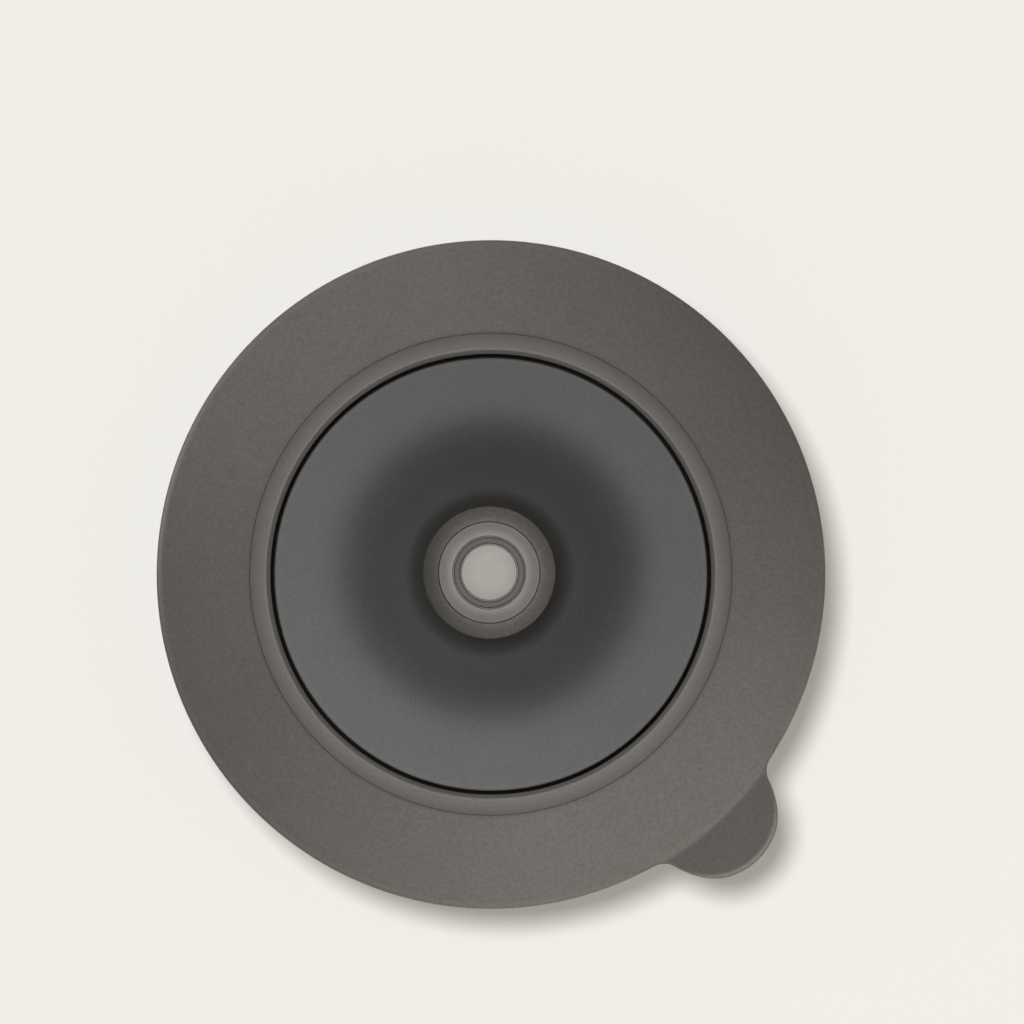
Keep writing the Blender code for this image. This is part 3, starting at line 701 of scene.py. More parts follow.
flangeLook = {
    "colour": (0.0965, 0.0925, 0.0875), "gloss": (0.74, 0.05), "specks": (0.6, 0.16),
    "clouds": (26.0, 0.05), "dust": 0.02, "grain": (0.35, 0.35, 0.02),
    # painted light: the flange is painted paler towards one side
    "paintedGradient": paintedGradientOf(direction=-65.0, reach=57.0, lean=0.18, stretch=0.31),
    "layers": [
        # painted shade: a darker, bluish band along the seam with the ring
        bandLayer(radius=41.13, width=0.8, strength=0.55, tint=(0.062, 0.065, 0.072)),
        # painted highlight round the rounded outer edge, which is also made glossier
        bandLayer(radius=57.0, width=1.2, strength=0.5, tint=(0.15, 0.145, 0.135), roughShift=-0.3),
    ],
}
flangeRubber = makeMoulded("flangeRubber", flangeLook)
# The tab's rubber is the flange's, with the same painted light gradient, painted shade over the tab beyond
# the flange's edge, and a painted highlight round its rounded edge.
tabRubberPaintedShade = makeMoulded("tabRubberPaintedShade", {
    **flangeLook,
    "layers": [
        # painted shade: the tab is painted darker beyond the flange's edge
        {
            "mask": outsideMask, "inputs": {"Start": 56.95 * mm, "Fade": 1.0 * mm},
            "strength": 1.0, "tint": (0.0556, 0.0525, 0.0494),
        },
        # painted highlight round the tab's rounded edge, which is also a little glossier
        bandLayer(
            radius=11.7, width=0.8, strength=0.62, tint=(0.165, 0.152, 0.138), centre=tabMiddle,
            within=outsideMask, bounds={"Start": 57.3 * mm, "Fade": 1.0 * mm}, roughShift=-0.15,
        ),
    ],
})
ringPlastic = makeMoulded("ringPlastic", {
    "colour": (0.090, 0.090, 0.091), "gloss": (0.48, 0.05), "specks": (0.45, 0.14),
    "clouds": (18.0, 0.03), "dust": 0.01, "grain": (0.3, 0.15, 0.01),
    # painted light: the ring is painted a little paler towards one side
    "paintedGradient": paintedGradientOf(direction=-65.0, reach=57.0, lean=0.05, stretch=0.12),
    "layers": [
        # painted highlight along the bead's crest
        bandLayer(radius=38.6, width=2.2, strength=0.8, tint=(0.135, 0.131, 0.126)),
        # painted shade: a darker, bluish band along the seam with the flange
        bandLayer(radius=41.13, width=0.8, strength=0.55, tint=(0.066, 0.069, 0.076)),
        # painted shade: the seat and the bore below the mouth's top, under the gap round the stopper, are
        # painted near black and made rougher
        {
            "mask": hollowMask,
            "inputs": {"Inner": 36.7 * mm, "Outer": 37.7 * mm, "Level": 35.6 * mm, "Fade": 0.8 * mm},
            "strength": 1.0, "tint": (0.006, 0.006, 0.006), "roughShift": 0.5,
        },
    ],
})
shellPlastic = makeMoulded("shellPlastic", {
    "colour": (0.052, 0.053, 0.0545), "gloss": (0.41, 0.04), "specks": (0.45, 0.18),
    "clouds": (22.0, 0.05), "dust": 0.01, "grain": (0.3, 0.2, 0.01),
    # painted light: the shell is painted paler towards one side
    "paintedGradient": paintedGradientOf(direction=-115.0, reach=37.0, lean=0.27, stretch=0.0),
    "layers": [
        # painted light: the flat rim is painted paler than the slope
        bandLayer(radius=34.0, width=9.0, strength=0.3, tint=(0.062, 0.063, 0.0645)),
        # painted highlight: a thin pale line just inside the rounded edge
        bandLayer(radius=36.35, width=0.4, strength=0.12, tint=(0.12, 0.12, 0.12)),
        # painted shade: dark round the throat under the knob, and rougher there
        bandLayer(radius=11.0, width=3.9, strength=0.8, tint=(0.012, 0.012, 0.012), roughShift=0.2),
    ],
})
basketPlastic = makeMoulded("basketPlastic", {
    "colour": (0.078, 0.077, 0.077), "gloss": (0.46, 0.08), "specks": (0.4, 0.03),
    "clouds": (12.0, 0.05), "dust": 0.03, "grain": (0.4, 0.25, 0.015),
})
bushPlastic = makeMoulded("bushPlastic", {
    "colour": (0.700, 0.690, 0.660), "gloss": (0.38, 0.08), "specks": (0.4, 0.02),
    "clouds": (5.0, 0.03), "dust": 0.0, "grain": (0.3, 0.15, 0.01),
    "fixed": {"Subsurface Weight": 0.1, "Subsurface Scale": 0.001},
})
sealSilicone = makeMoulded("sealSilicone", {
    "colour": (0.055, 0.055, 0.055), "gloss": (0.62, 0.1), "specks": (0.4, 0.03),
    "clouds": (8.0, 0.04), "dust": 0.04, "grain": (0.3, 0.2, 0.01),
})
gripRubber = makeMoulded("gripRubber", {
    "colour": (0.0515, 0.0502, 0.0485), "gloss": (0.6, 0.06), "specks": (0.5, 0.3),
    "clouds": (9.0, 0.06), "dust": 0.015, "grain": (0.3, 0.3, 0.015),
    # painted light: the grip is painted paler towards one side
    "paintedGradient": paintedGradientOf(direction=10.0, reach=11.0, lean=0.22, stretch=-0.2),
    "layers": [bandLayer(radius=8.7, width=1.0, strength=0.8, tint=(0.078, 0.076, 0.073))],
})
stemSteel = makeTurnedMetal("stemSteel", {
    "colour": (0.560, 0.550, 0.530), "gloss": (0.24, 0.06), "specks": (0.5, 0.02), "clouds": (6.0, 0.04),
    "rings": {"pitch": 0.12, "along": 1.0, "strength": 0.3, "depth": 0.01, "gloss": 0.12},
    "fixed": {"Metallic": 1.0},
})
inlayMetal = makeTurnedMetal("inlayMetal", {
    "colour": (0.243, 0.229, 0.219), "gloss": (0.20, 0.05), "specks": (0.5, 0.06), "clouds": (5.0, 0.09),
    "rings": {"pitch": 0.09, "along": 0.0, "strength": 0.12, "depth": 0.004, "gloss": 0.08},
    "fixed": {"Metallic": 0.5},
    "layers": [
        # painted reflection: a paler centre
        bandLayer(radius=5.2, width=3.4, strength=0.5, tint=(0.15, 0.141, 0.134)),
        # painted reflection: a dark ring towards the edge, which is also a little rougher
        bandLayer(radius=7.9, width=3.2, strength=0.9, tint=(0.070, 0.067, 0.064), roughShift=0.06),
    ],
})
trimMetal = makeTurnedMetal("trimMetal", {
    "colour": (0.085, 0.081, 0.077), "gloss": (0.42, 0.05), "specks": (0.5, 0.02), "clouds": (7.0, 0.04),
    "rings": {"pitch": 0.1, "along": 0.0, "strength": 0.15, "depth": 0.004, "gloss": 0.08},
    "fixed": {"Metallic": 0.6},
})


# Sealing flange with its pull tab

flange = {
    "seamRadius": 41.16, "slotRadius": 45.25, "outerRadius": 57.15, "skirtHole": 40.15,
    "bottom": 34.0, "lipTop": 34.85, "slotTop": 36.25, "seamTop": 37.1, "edgeTop": 35.7,
    "edgeWidth": 1.5, "edgeAngle": 60, "edgeRound": 0.8, "domeSteps": 25,
    "grooveRadii": (52.39, 48.58), "grooveWidth": 1.6, "grooveDepth": 0.5,
}
tab = {
    "radius": 12.05, "pinch": 0.65, "pinchStart": 25, "pinchStop": 70,
    "neckFillet": 3.6, "neckFade": 6.0, "neckDepth": 0.95, "rootRadius": 54.2, "rootSteps": 8,
    "low": 34.3, "top": 35.5, "edge": 0.5, "edgeSteps": 6, "flatMargin": 0.25, "hair": 0.01,
    "steps": 48, "neckSteps": 14, "cover": 0.006,
    "cutStart": 52.0, "cutPitch": 0.25, "cutCount": 27, "cutReach": 19,
}


# Radius at which the flange's domed top meets its rounded edge, and the slope there.
def flangeSlope():
    edgeStart = flange["outerRadius"] - flange["edgeWidth"]
    return edgeStart, 2 * (flange["seamTop"] - flange["edgeTop"]) / (edgeStart - flange["seamRadius"])


def flangeOutline():
    edgeStart, slope = flangeSlope()
    fall = flange["seamTop"] - flange["edgeTop"]
    corners = cornersOf(flange, [("seamRadius", "slotTop", 0.1), ("seamRadius", "seamTop", 0.02)])
    for step in range(1, flange["domeSteps"]):
        share = step / flange["domeSteps"]
        radius = flange["seamRadius"] + (edgeStart - flange["seamRadius"]) * share
        corners.append((radius, flange["seamTop"] - fall * share ** 2, 0))
    turn = math.radians(flange["edgeAngle"])
    halfWidth = flange["edgeWidth"] / (1 - math.cos(turn))
    halfHeight = slope * halfWidth * math.tan(turn)
    corners += arcOutline(
        flange["outerRadius"] - halfWidth, flange["edgeTop"] - halfHeight * math.sin(turn),
        halfWidth, flange["edgeAngle"], 0, 10, halfHeight,
    )
    rounding = flange["edgeRound"]
    bottomStart = flange["outerRadius"] - rounding
    corners += arcOutline(bottomStart, flange["bottom"] + rounding, rounding, 0, -90, 8)
    half, depth = -flange["grooveWidth"] / 2, flange["grooveDepth"]
    for radius in flange["grooveRadii"]:
        corners += veeCorners(flange["bottom"], radius, half, depth, (0.2, 0.3), level=True)
    return corners + cornersOf(flange, [
        ("skirtHole", "bottom", 0.15), ("skirtHole", "lipTop", 0.1),
        ("slotRadius", "lipTop", 0.1), ("slotRadius", "slotTop", 0.1),
    ])


# The tab's round is a little pinched at the sides. It meets the flange's edge through a fillet on each
# side, whose start fades in under the edge. margin draws the outline inwards.
def tabLoop(margin):
    toFlange = flange["outerRadius"] + tab["neckFillet"]
    toTab = tab["radius"] - tab["pinch"] + tab["neckFillet"]
    cosine = (toFlange ** 2 + tabCentre ** 2 - toTab ** 2) / (2 * toFlange * tabCentre)
    spread = math.acos(cosine)
    fade = math.radians(tab["neckFade"])
    filletCentre = polar(spread, toFlange)
    reach = Vector((tabCentre, 0.0)) - filletCentre
    start = spread + math.pi
    stop = math.tau + math.atan2(reach.y, reach.x)
    rootSteps, neckSteps = tab["rootSteps"], tab["neckSteps"]
    half = []
    for step in range(1, rootSteps + 1):
        half.append(polar((spread + fade) * step / rootSteps, tab["rootRadius"] + margin))
    for step in range(rootSteps):
        left = 1 - step / rootSteps
        depth = tab["neckDepth"] * left ** 2 + margin
        half.append(polar(spread + fade * left, flange["outerRadius"] - depth))
    for step in range(neckSteps + 1):
        angle = start + (stop - start) * step / neckSteps
        half.append(filletCentre + polar(angle, tab["neckFillet"] + margin))
    for step in range(1, tab["steps"] // 2 + 1):
        angle = (stop - math.pi) * (1 - 2 * step / tab["steps"])
        share = (math.degrees(angle) - tab["pinchStart"]) / (tab["pinchStop"] - tab["pinchStart"])
        share = min(max(share, 0.0), 1.0)
        radius = tab["radius"] - margin - tab["pinch"] * share * share * (3 - 2 * share)
        half.append(Vector((tabCentre, 0.0)) + polar(angle, radius))
    mirrored = [Vector((point.x, -point.y)) for point in reversed(half[:-1])]
    middle = Vector((tab["rootRadius"] + margin, 0.0))
    turn = Matrix.Rotation(math.radians(tabTurn), 2)
    return [turn @ point for point in [middle] + half + mirrored]


# Height that the tab's top gains where it carries on the flange's slope, just under it.
def tabRise(radius):
    edgeStart, slope = flangeSlope()
    return max(flange["edgeTop"] - tab["cover"] + slope * (edgeStart - radius) - tab["top"], 0.0)


# Cuts the tab's top into small squares, so that its root can follow the flange.
def cutTabTop(mesh, topFaces):
    nearTop = (tab["top"] - tab["hair"]) * mm
    ahead = Vector(levelDirection(tabTurn))
    across = Vector((-ahead.y, ahead.x, 0.0))
    cuts = [(ahead, tab["cutStart"] + tab["cutPitch"] * step) for step in range(tab["cutCount"])]
    cuts += [(across, step) for step in range(-tab["cutReach"], tab["cutReach"] + 1)]
    for direction, distance in cuts:
        parts = set(topFaces)
        parts.update(edge for face in topFaces for edge in face.edges)
        parts.update(vertex for face in topFaces for vertex in face.verts)
        place = direction * distance * mm
        bmesh.ops.bisect_plane(mesh, geom=list(parts), dist=weldDistance, plane_co=place, plane_no=direction)
        topFaces = [face for face in mesh.faces if all(v.co.z > nearTop for v in face.verts)]


# The tab is a stack of loops that curl over its rounded edge, below and above.
def makeTab():
    edge = tab["edge"]
    flat = edge + tab["flatMargin"]
    curl = quarterCurl(edge, tab["edgeSteps"])
    levels = [(tab["low"], flat)]
    levels += [(tab["low"] + depth, margin) for margin, depth in curl]
    levels += [(tab["top"] - margin, depth) for margin, depth in curl]
    levels.append((tab["top"], flat))
    loops = [[(*point, height) for point in tabLoop(margin)] for height, margin in levels]
    mesh = bmesh.new()
    mesh.from_mesh(loopsMesh("tabLoops", loops))
    mesh.faces.ensure_lookup_table()
    cutTabTop(mesh, [mesh.faces[-1]])
    for vertex in mesh.verts:
        if vertex.co.z > (tab["top"] - edge - tab["hair"]) * mm:
            vertex.co.z += tabRise(vertex.co.xy.length / mm) * mm
    bmesh.ops.recalc_face_normals(mesh, faces=mesh.faces)
    return meshOf("pullTab", mesh)


def makeFlange():
    body = turnOutlines([(roundOutline(flangeOutline()), True)], largeSides, flangeRubber)
    merged = bmesh.new()
    merged.from_mesh(joinMeshes("flangeBody", [body], flangeRubber))
    bodyFaces = len(merged.faces)
    merged.from_mesh(makeTab())
    merged.faces.ensure_lookup_table()
    for face in merged.faces[bodyFaces:]:
        face.material_index = 1
    data = meshOf("flangeBody", merged)
    data.shade_smooth()
    data.materials.append(flangeRubber)
    data.materials.append(tabRubberPaintedShade)
    dress(newObject("flangeBody", data), "strainer", "sealing_flange")


# Basket ring

ring = {
    "mouthRadius": 37.6, "beadRadius": 41.1, "tongueRadius": 45.0,
    "skirtRadius": 39.9, "skirtInner": 38.4, "ledgeRadius": 34.5,
    "mouthTop": 36.95, "crestRadius": 38.32, "crestTop": 37.87, "crestRound": 0.5, "beadFoot": 37.1,
    "tongueTop": 36.0, "tongueLow": 35.1, "ledgeTop": 33.2, "ledgeLow": 31.7, "skirtLow": 25.7,
    "snapLevel": 28.25, "snapHalf": 1.05, "snapDepth": 0.5,
}


def makeRing():
    snap = (ring["snapLevel"], ring["snapHalf"], ring["snapDepth"], (0.2, 0.3))
    corners = cornersOf(ring, [
        ("ledgeRadius", "ledgeTop", 0.3), ("mouthRadius", "ledgeTop", 0.25),
        ("mouthRadius", "mouthTop", 0.35), ("crestRadius", "crestTop", "crestRound"),
        ("beadRadius", "beadFoot", 0.05), ("beadRadius", "tongueTop", 0.1),
        ("tongueRadius", "tongueTop", 0.2), ("tongueRadius", "tongueLow", 0.2),
        ("skirtRadius", "tongueLow", 0.3), ("skirtRadius", "skirtLow", 0.5), ("skirtInner", "skirtLow", 0.3),
        *veeCorners(ring["skirtInner"], *snap), ("skirtInner", "ledgeLow", 0.2),
        ("ledgeRadius", "ledgeLow", 0.3),
    ])
    piece = turnedPiece("ringBody", corners, largeSides, ringPlastic)
    dress(piece, "strainer", "basket_ring")


# Strainer basket

basket = {
    "wallLow": (34.55, 4.0), "wallHigh": (38.15, 25.7), "innerLow": (32.95, 4.2), "innerHigh": (36.55, 25.7),
    "footRadius": 30.55, "footRound": 4.0, "bowlRound": 2.4, "floorTop": 1.8, "top": 31.45,
    "snapLevel": 28.25, "snapHeight": 0.5, "snapHalf": 0.8,
    "recessRadius": 9.5, "recessTop": 3.2, "hubBore": 5.15, "hubRadius": 6.95, "hubTop": 16.0,
    "hubFootRadius": 11.3, "hubFootTop": 5.0, "bottom": 0.0,
    "wallSlots": 48, "wallSlotWidth": 2.4, "wallSlotLow": 7.2, "wallSlotHigh": 22.5,
    "wallBorderLow": 5.0, "wallBorderHigh": 24.9,
    "floorSlotWidth": 2.2, "outerSlots": 24, "outerSlotSpan": (19.05, 27.55),
    "innerSlots": 12, "innerSlotSpan": (12.7, 17.05), "innerBorder": 12.0, "splitBorder": 18.05,
    "outerBorder": 28.6, "slotEdge": 0.28, "slotEdgeSteps": 3, "slotRim": 0.15,
    "gussets": 6, "gussetThickness": 1.4, "gussetHeight": 6.0,
    "gussetSink": 0.9, "gussetInset": 0.6, "gussetRound": 0.25,
}


# Loops round one slot, from the sector's border in to the slot, through the wall and out again.
# place(along, angle, across, depth) gives a point; across is used where angle is None.
def slotSector(place, slotLow, slotHigh, halfWidth, low, high, halfAngle, arcSteps, sideSteps, wall):
    endSteps = arcSteps + 4
    edge = basket["slotEdge"]
    ends = ((1, slotHigh, high, slotLow), (-1, slotLow, low, slotHigh))

    def slotLoop(margin, depth):
        radius = halfWidth + margin
        loop = []
        for side, level, _, follower in ends:
            for step in range(endSteps + 1):
                point = polar(math.pi * step / endSteps, side * radius)
                loop.append(place(level + point.y, None, point.x, depth))
            for step in range(1, sideSteps):
                loop.append(place(level + (follower - level) * step / sideSteps, None, -side * radius, depth))
        return loop

    def borderLoop(depth):
        loop = []
        for side, level, rim, follower in ends:
            for step in range(endSteps + 1):
                along = level + (rim - level) * min(step, endSteps - step, 2) / 2
                share = min(max((step - 2) / arcSteps, 0), 1)
                loop.append(place(along, side * halfAngle * (1 - 2 * share), None, depth))
            for step in range(1, sideSteps):
                along = level + (follower - level) * step / sideSteps
                loop.append(place(along, -side * halfAngle, None, depth))
        return loop

    curl = quarterCurl(edge, basket["slotEdgeSteps"])
    loops = [borderLoop(0.0), slotLoop(edge + basket["slotRim"], 0.0)]
    loops += [slotLoop(margin, depth) for margin, depth in curl]
    loops += [slotLoop(margin, wall - depth) for margin, depth in reversed(curl)]
    loops += [slotLoop(edge + basket["slotRim"], wall), borderLoop(wall)]
    return loopsMesh("slotSector", loops, capped=False)


def wallSector():
    middle = math.pi / basket["wallSlots"]
    outerLow, outerHigh = Vector(basket["wallLow"]), Vector(basket["wallHigh"])
    innerLow, innerHigh = Vector(basket["innerLow"]), Vector(basket["innerHigh"])
    wall = outerLow.x - innerLow.x

    def place(level, angle, across, depth):
        share = (level - outerLow.y) / (outerHigh.y - outerLow.y)
        outer = outerLow.lerp(outerHigh, share)
        point = outer.lerp(innerLow.lerp(innerHigh, share), depth / wall)
        turn = middle + (across / outer.x if angle is None else angle)
        return (*polar(turn, point.x), point.y)

    return slotSector(
        place, basket["wallSlotLow"], basket["wallSlotHigh"], basket["wallSlotWidth"] / 2,
        basket["wallBorderLow"], basket["wallBorderHigh"], middle, 4, 4, wall,
    )


def floorSector(count, span, low, high, arcSteps):
    middle = math.pi / count
    half = basket["floorSlotWidth"] / 2
    top = basket["floorTop"]

    def place(level, angle, across, depth):
        if angle is None:
            point = polar(middle, level) + polar(middle + math.pi / 2, across)
        else:
            point = polar(middle + angle, level)
        return (*point, top - depth)

    return slotSector(place, span[0] + half, span[1] - half, half, low, high, middle, arcSteps, 2, top)


# The basket's round stretches between the rings of slots.
def basketStrips():
    def wallPoint(low, high, level):
        start, stop = Vector(basket[low]), Vector(basket[high])
        share = (level - basket["wallLow"][1]) / (basket["wallHigh"][1] - basket["wallLow"][1])
        return (*start.lerp(stop, share), 0)

    outer, high = basket["wallHigh"]
    inner = basket["innerHigh"][0]
    snap = (basket["snapLevel"], basket["snapHalf"], basket["snapHeight"], (0.2, 0.3))
    collar = [wallPoint("wallLow", "wallHigh", basket["wallBorderHigh"])]
    collar += cornersOf(basket, [
        (outer, high, 0.6), *veeCorners(outer, *snap), (outer, "top", 0.5), (inner, "top", 0.4),
        (inner, high, 0.6),
    ])
    collar.append(wallPoint("innerLow", "innerHigh", basket["wallBorderHigh"]))
    foot = [wallPoint("wallLow", "wallHigh", basket["wallBorderLow"])]
    foot += arcOutline(basket["footRadius"], basket["wallLow"][1], basket["footRound"], 0, -90, 12)
    foot += cornersOf(basket, [("outerBorder", "bottom", 0)])
    bowl = [wallPoint("innerLow", "innerHigh", basket["wallBorderLow"])]
    bowl += arcOutline(basket["footRadius"], basket["innerLow"][1], basket["bowlRound"], 0, -90, 10)
    bowl += cornersOf(basket, [("outerBorder", "floorTop", 0)])
    hub = cornersOf(basket, [
        ("innerBorder", "floorTop", 0), ("hubFootRadius", "floorTop", 0.4),
        ("hubFootRadius", "hubFootTop", 0.8), ("hubRadius", "hubFootTop", 0.7), ("hubRadius", "hubTop", 0.4),
        ("hubBore", "hubTop", 0.3), ("hubBore", "recessTop", 0.3), ("recessRadius", "recessTop", 0.5),
        ("recessRadius", "bottom", 0.5), ("innerBorder", "bottom", 0),
    ])
    return [(roundOutline(corners, closed=False), False) for corners in (collar, foot, bowl, hub)]


# One wedge between the hub and its raised foot, with softened edges.
def gussetMesh():
    half, sink = basket["gussetThickness"] / 2, basket["gussetSink"]
    inner, outer = basket["hubRadius"] - sink, basket["hubFootRadius"] - basket["gussetInset"]
    low, high = basket["hubFootTop"] - sink, basket["hubFootTop"] + basket["gussetHeight"]
    outline = ((inner, low), (outer, low), (outer, basket["hubFootTop"]), (inner, high))
    mesh = prismMesh("gusset", outline, -half, half)
    mesh.transform(Matrix.Rotation(math.pi / 2, 4, "X"))
    wedge = newObject("gusset", mesh)
    addModifier(wedge, "BEVEL", width=basket["gussetRound"] * mm, segments=3)
    applyModifiers(wedge)
    result = wedge.data
    bpy.data.objects.remove(wedge, do_unlink=True)
    return result


def makeBasket():
    low, split, high = basket["innerBorder"], basket["splitBorder"], basket["outerBorder"]
    outerSlots, innerSlots = basket["outerSlots"], basket["innerSlots"]
    groups = (
        (wallSector(), basket["wallSlots"]),
        (floorSector(outerSlots, basket["outerSlotSpan"], split, high, 8), outerSlots),
        (floorSector(innerSlots, basket["innerSlotSpan"], low, split, 16), innerSlots),
        (gussetMesh(), basket["gussets"]),
    )
    meshes = [turnOutlines(basketStrips(), largeSides, basketPlastic)]
    for mesh, count in groups:
        meshes.append(runTree(ringOfCopiesTree, mesh, {"Count": count, "Finish": basketPlastic}))
    piece = newObject("basketBody", joinMeshes("basketBody", meshes, basketPlastic))
    dress(piece, "strainer", "strainer_basket")


print("Building the strainer")
makeFlange()
makeRing()
makeBasket()


# Guide bush

bush = {
    "bore": 3.3, "radius": 4.9, "headRadius": 6.6, "barbRadius": 5.5,
    "low": 1.45, "barbLand": 2.45, "barbTop": 2.95, "headLow": 16.25, "headTop": 20.15,
    "pocketLow": 17.25, "pocketTop": 19.15, "pocketRadius": 5.0,
    "slitWidth": 1.0, "slitLow": 0.5, "slitTop": 9.45, "slitReach": 8.0, "slitAngles": (45, 135),
    "sharpAngle": 40,
}


def cutWith(piece, cutter, operation="DIFFERENCE"):
    addModifier(piece, "BOOLEAN", operation=operation, solver="EXACT", object=cutter)
    applyModifiers(piece)
    bpy.data.objects.remove(cutter, do_unlink=True)


def makeBush():
    corners = cornersOf(bush, [
        ("bore", "low", 0.3), ("radius", "low", 0.2), ("barbRadius", "barbLand", 0.2),
        ("barbRadius", "barbTop", 0.15), ("radius", "barbTop", 0.1), ("radius", "headLow", 0.2),
        ("headRadius", "headLow", 0.25), ("headRadius", "headTop", 0.5), ("bore", "headTop", 0.4),
        ("bore", "pocketTop", 0.1), ("pocketRadius", "pocketTop", 0.1), ("pocketRadius", "pocketLow", 0.1),
        ("bore", "pocketLow", 0.1),
    ])
    piece = turnedPiece("bushBody", corners, smallSides, bushPlastic, steps=4)
    half, reach = bush["slitWidth"] / 2, bush["slitReach"]
    outline = ((-reach, -half), (reach, -half), (reach, half), (-reach, half))
    for angle in bush["slitAngles"]:
        slit = prismMesh("slit", outline, bush["slitLow"], bush["slitTop"])
        slit.transform(Matrix.Rotation(math.radians(angle), 4, "Z"))
        cutWith(piece, newObject("slit", slit))
    piece.data.set_sharp_from_angle(angle=math.radians(bush["sharpAngle"]))
    dress(piece, "guide", "guide_bush")


print("Building the guide")
makeBush()


# Stopper shell

shell = {
    "rimRadius": 37.0, "flatRadius": 30.5, "arcRadius": 19.0, "slope": 45.0,
    "neckRadius": 10.8, "holeRadius": 2.45, "discTop": 36.7, "rows": 118,
    "throatStart": 15.065, "throatArc": 12.0, "throatSlope": 65.0,
    "wall": 1.8, "edgeRound": 0.86, "edgeAngle": 60, "edgeSteps": 7,
}


def makeShell():
    values = {
        "Rim Radius": shell["rimRadius"] * mm, "Flat Radius": shell["flatRadius"] * mm,
        "Arc Radius": shell["arcRadius"] * mm, "Slope": math.radians(shell["slope"]),
        "Throat Start": shell["throatStart"] * mm, "Throat Arc": shell["throatArc"] * mm,
        "Throat Slope": math.radians(shell["throatSlope"]),
        "Neck Radius": shell["neckRadius"] * mm, "Hole Radius": shell["holeRadius"] * mm,
        "Disc Height": shell["discTop"] * mm, "Rows": shell["rows"], "Sides": largeSides,
        "Finish": shellPlastic,
    }
    surface = runTree(bellSurfaceTree, bpy.data.meshes.new("blank"), values)
    piece = newObject("shellBody", surface)
    inward = -1.0 if surface.polygons[0].normal.z > 0 else 1.0
    addModifier(piece, "SOLIDIFY", thickness=shell["wall"] * mm, offset=inward, use_even_offset=True)
    addModifier(
        piece, "BEVEL", limit_method="ANGLE", angle_limit=math.radians(shell["edgeAngle"]),
        width=shell["edgeRound"] * mm, segments=shell["edgeSteps"],
    )
    applyModifiers(piece)
    piece.data = joinMeshes("shellBody", [piece.data], shellPlastic)
    dress(piece, "stopper", "stopper_shell")


# Stopper seal and its retainer

seal = {
    "inner": 31.5, "outer": 37.0, "low": 33.45, "top": 34.65,
    "grooves": (34.8, 35.7), "grooveHalf": 0.2, "grooveDepth": 0.22,
}
retainer = {
    "outer": 34.0, "low": 31.7, "top": 33.2, "ribOuter": 31.25, "ribInner": 29.75, "ribTop": 34.65,
    "bossRadius": 6.35, "bossTop": 35.4, "hole": 3.25, "pocketRadius": 4.85, "pocketTop": 33.35,
    "dishLow": 32.1, "dishOuter": 28.2, "dishInner": 9.0, "dishSlope": 0.4,
}


def makeSeal():
    corners = cornersOf(seal, [("inner", "low", 0.15)])
    half, depth = seal["grooveHalf"], seal["grooveDepth"]
    for radius in seal["grooves"]:
        corners += veeCorners(seal["low"], radius, half, depth, (0.1, 0.1), level=True)
    corners += cornersOf(seal, [("outer", "low", 0.45), ("outer", "top", 0.45), ("inner", "top", 0.15)])
    piece = turnedPiece("sealLip", corners, largeSides, sealSilicone)
    dress(piece, "stopper", "stopper_seal")


def makeRetainer():
    slope = retainer["dishSlope"]
    corners = cornersOf(retainer, [
        ("hole", "pocketTop", 0.15), ("hole", "bossTop", 0.3), ("bossRadius", "bossTop", 0.3),
        ("bossRadius", "top", 0.5), ("ribInner", "top", 0.3), ("ribInner", "ribTop", 0.25),
        ("ribOuter", "ribTop", 0.25), ("ribOuter", "top", 0.15), ("outer", "top", 0.2), ("outer", "low", 0.6),
        ("dishOuter", "low", 0.3), (retainer["dishOuter"] - slope, "dishLow", 0.3),
        (retainer["dishInner"] + slope, "dishLow", 0.3), ("dishInner", "low", 0.3),
        ("pocketRadius", "low", 0.2), ("pocketRadius", "pocketTop", 0.1),
    ])
    piece = turnedPiece("retainerPlate", corners, largeSides, basketPlastic)
    dress(piece, "stopper", "seal_retainer")


# Stem, washer and nut

stem = {
    "radius": 3.0, "tip": 1.95, "chamfer": 0.8, "shoulder": 49.45, "studRadius": 2.2, "studTop": 54.6,
    "grooves": (6.2, 18.2), "grooveDepth": 0.35, "grooveHalf": 0.75, "threadLow": 23.6, "threadHigh": 31.8,
    "pitch": 0.8, "threadDepth": 0.36, "threadSteepness": 2.6, "rowsPerPitch": 10,
}
washer = {"hole": 3.25, "radius": 7.15, "low": 30.65, "top": 31.45}
nut = {
    "flat": 5.25, "bore": 3.25, "low": 27.2, "top": 30.4, "chamfer": 0.45, "chamferInset": 0.15,
    "countersink": 0.4, "countersinkReach": 1.0, "overrun": 0.6, "clear": 0.02, "sharpAngle": 25,
}


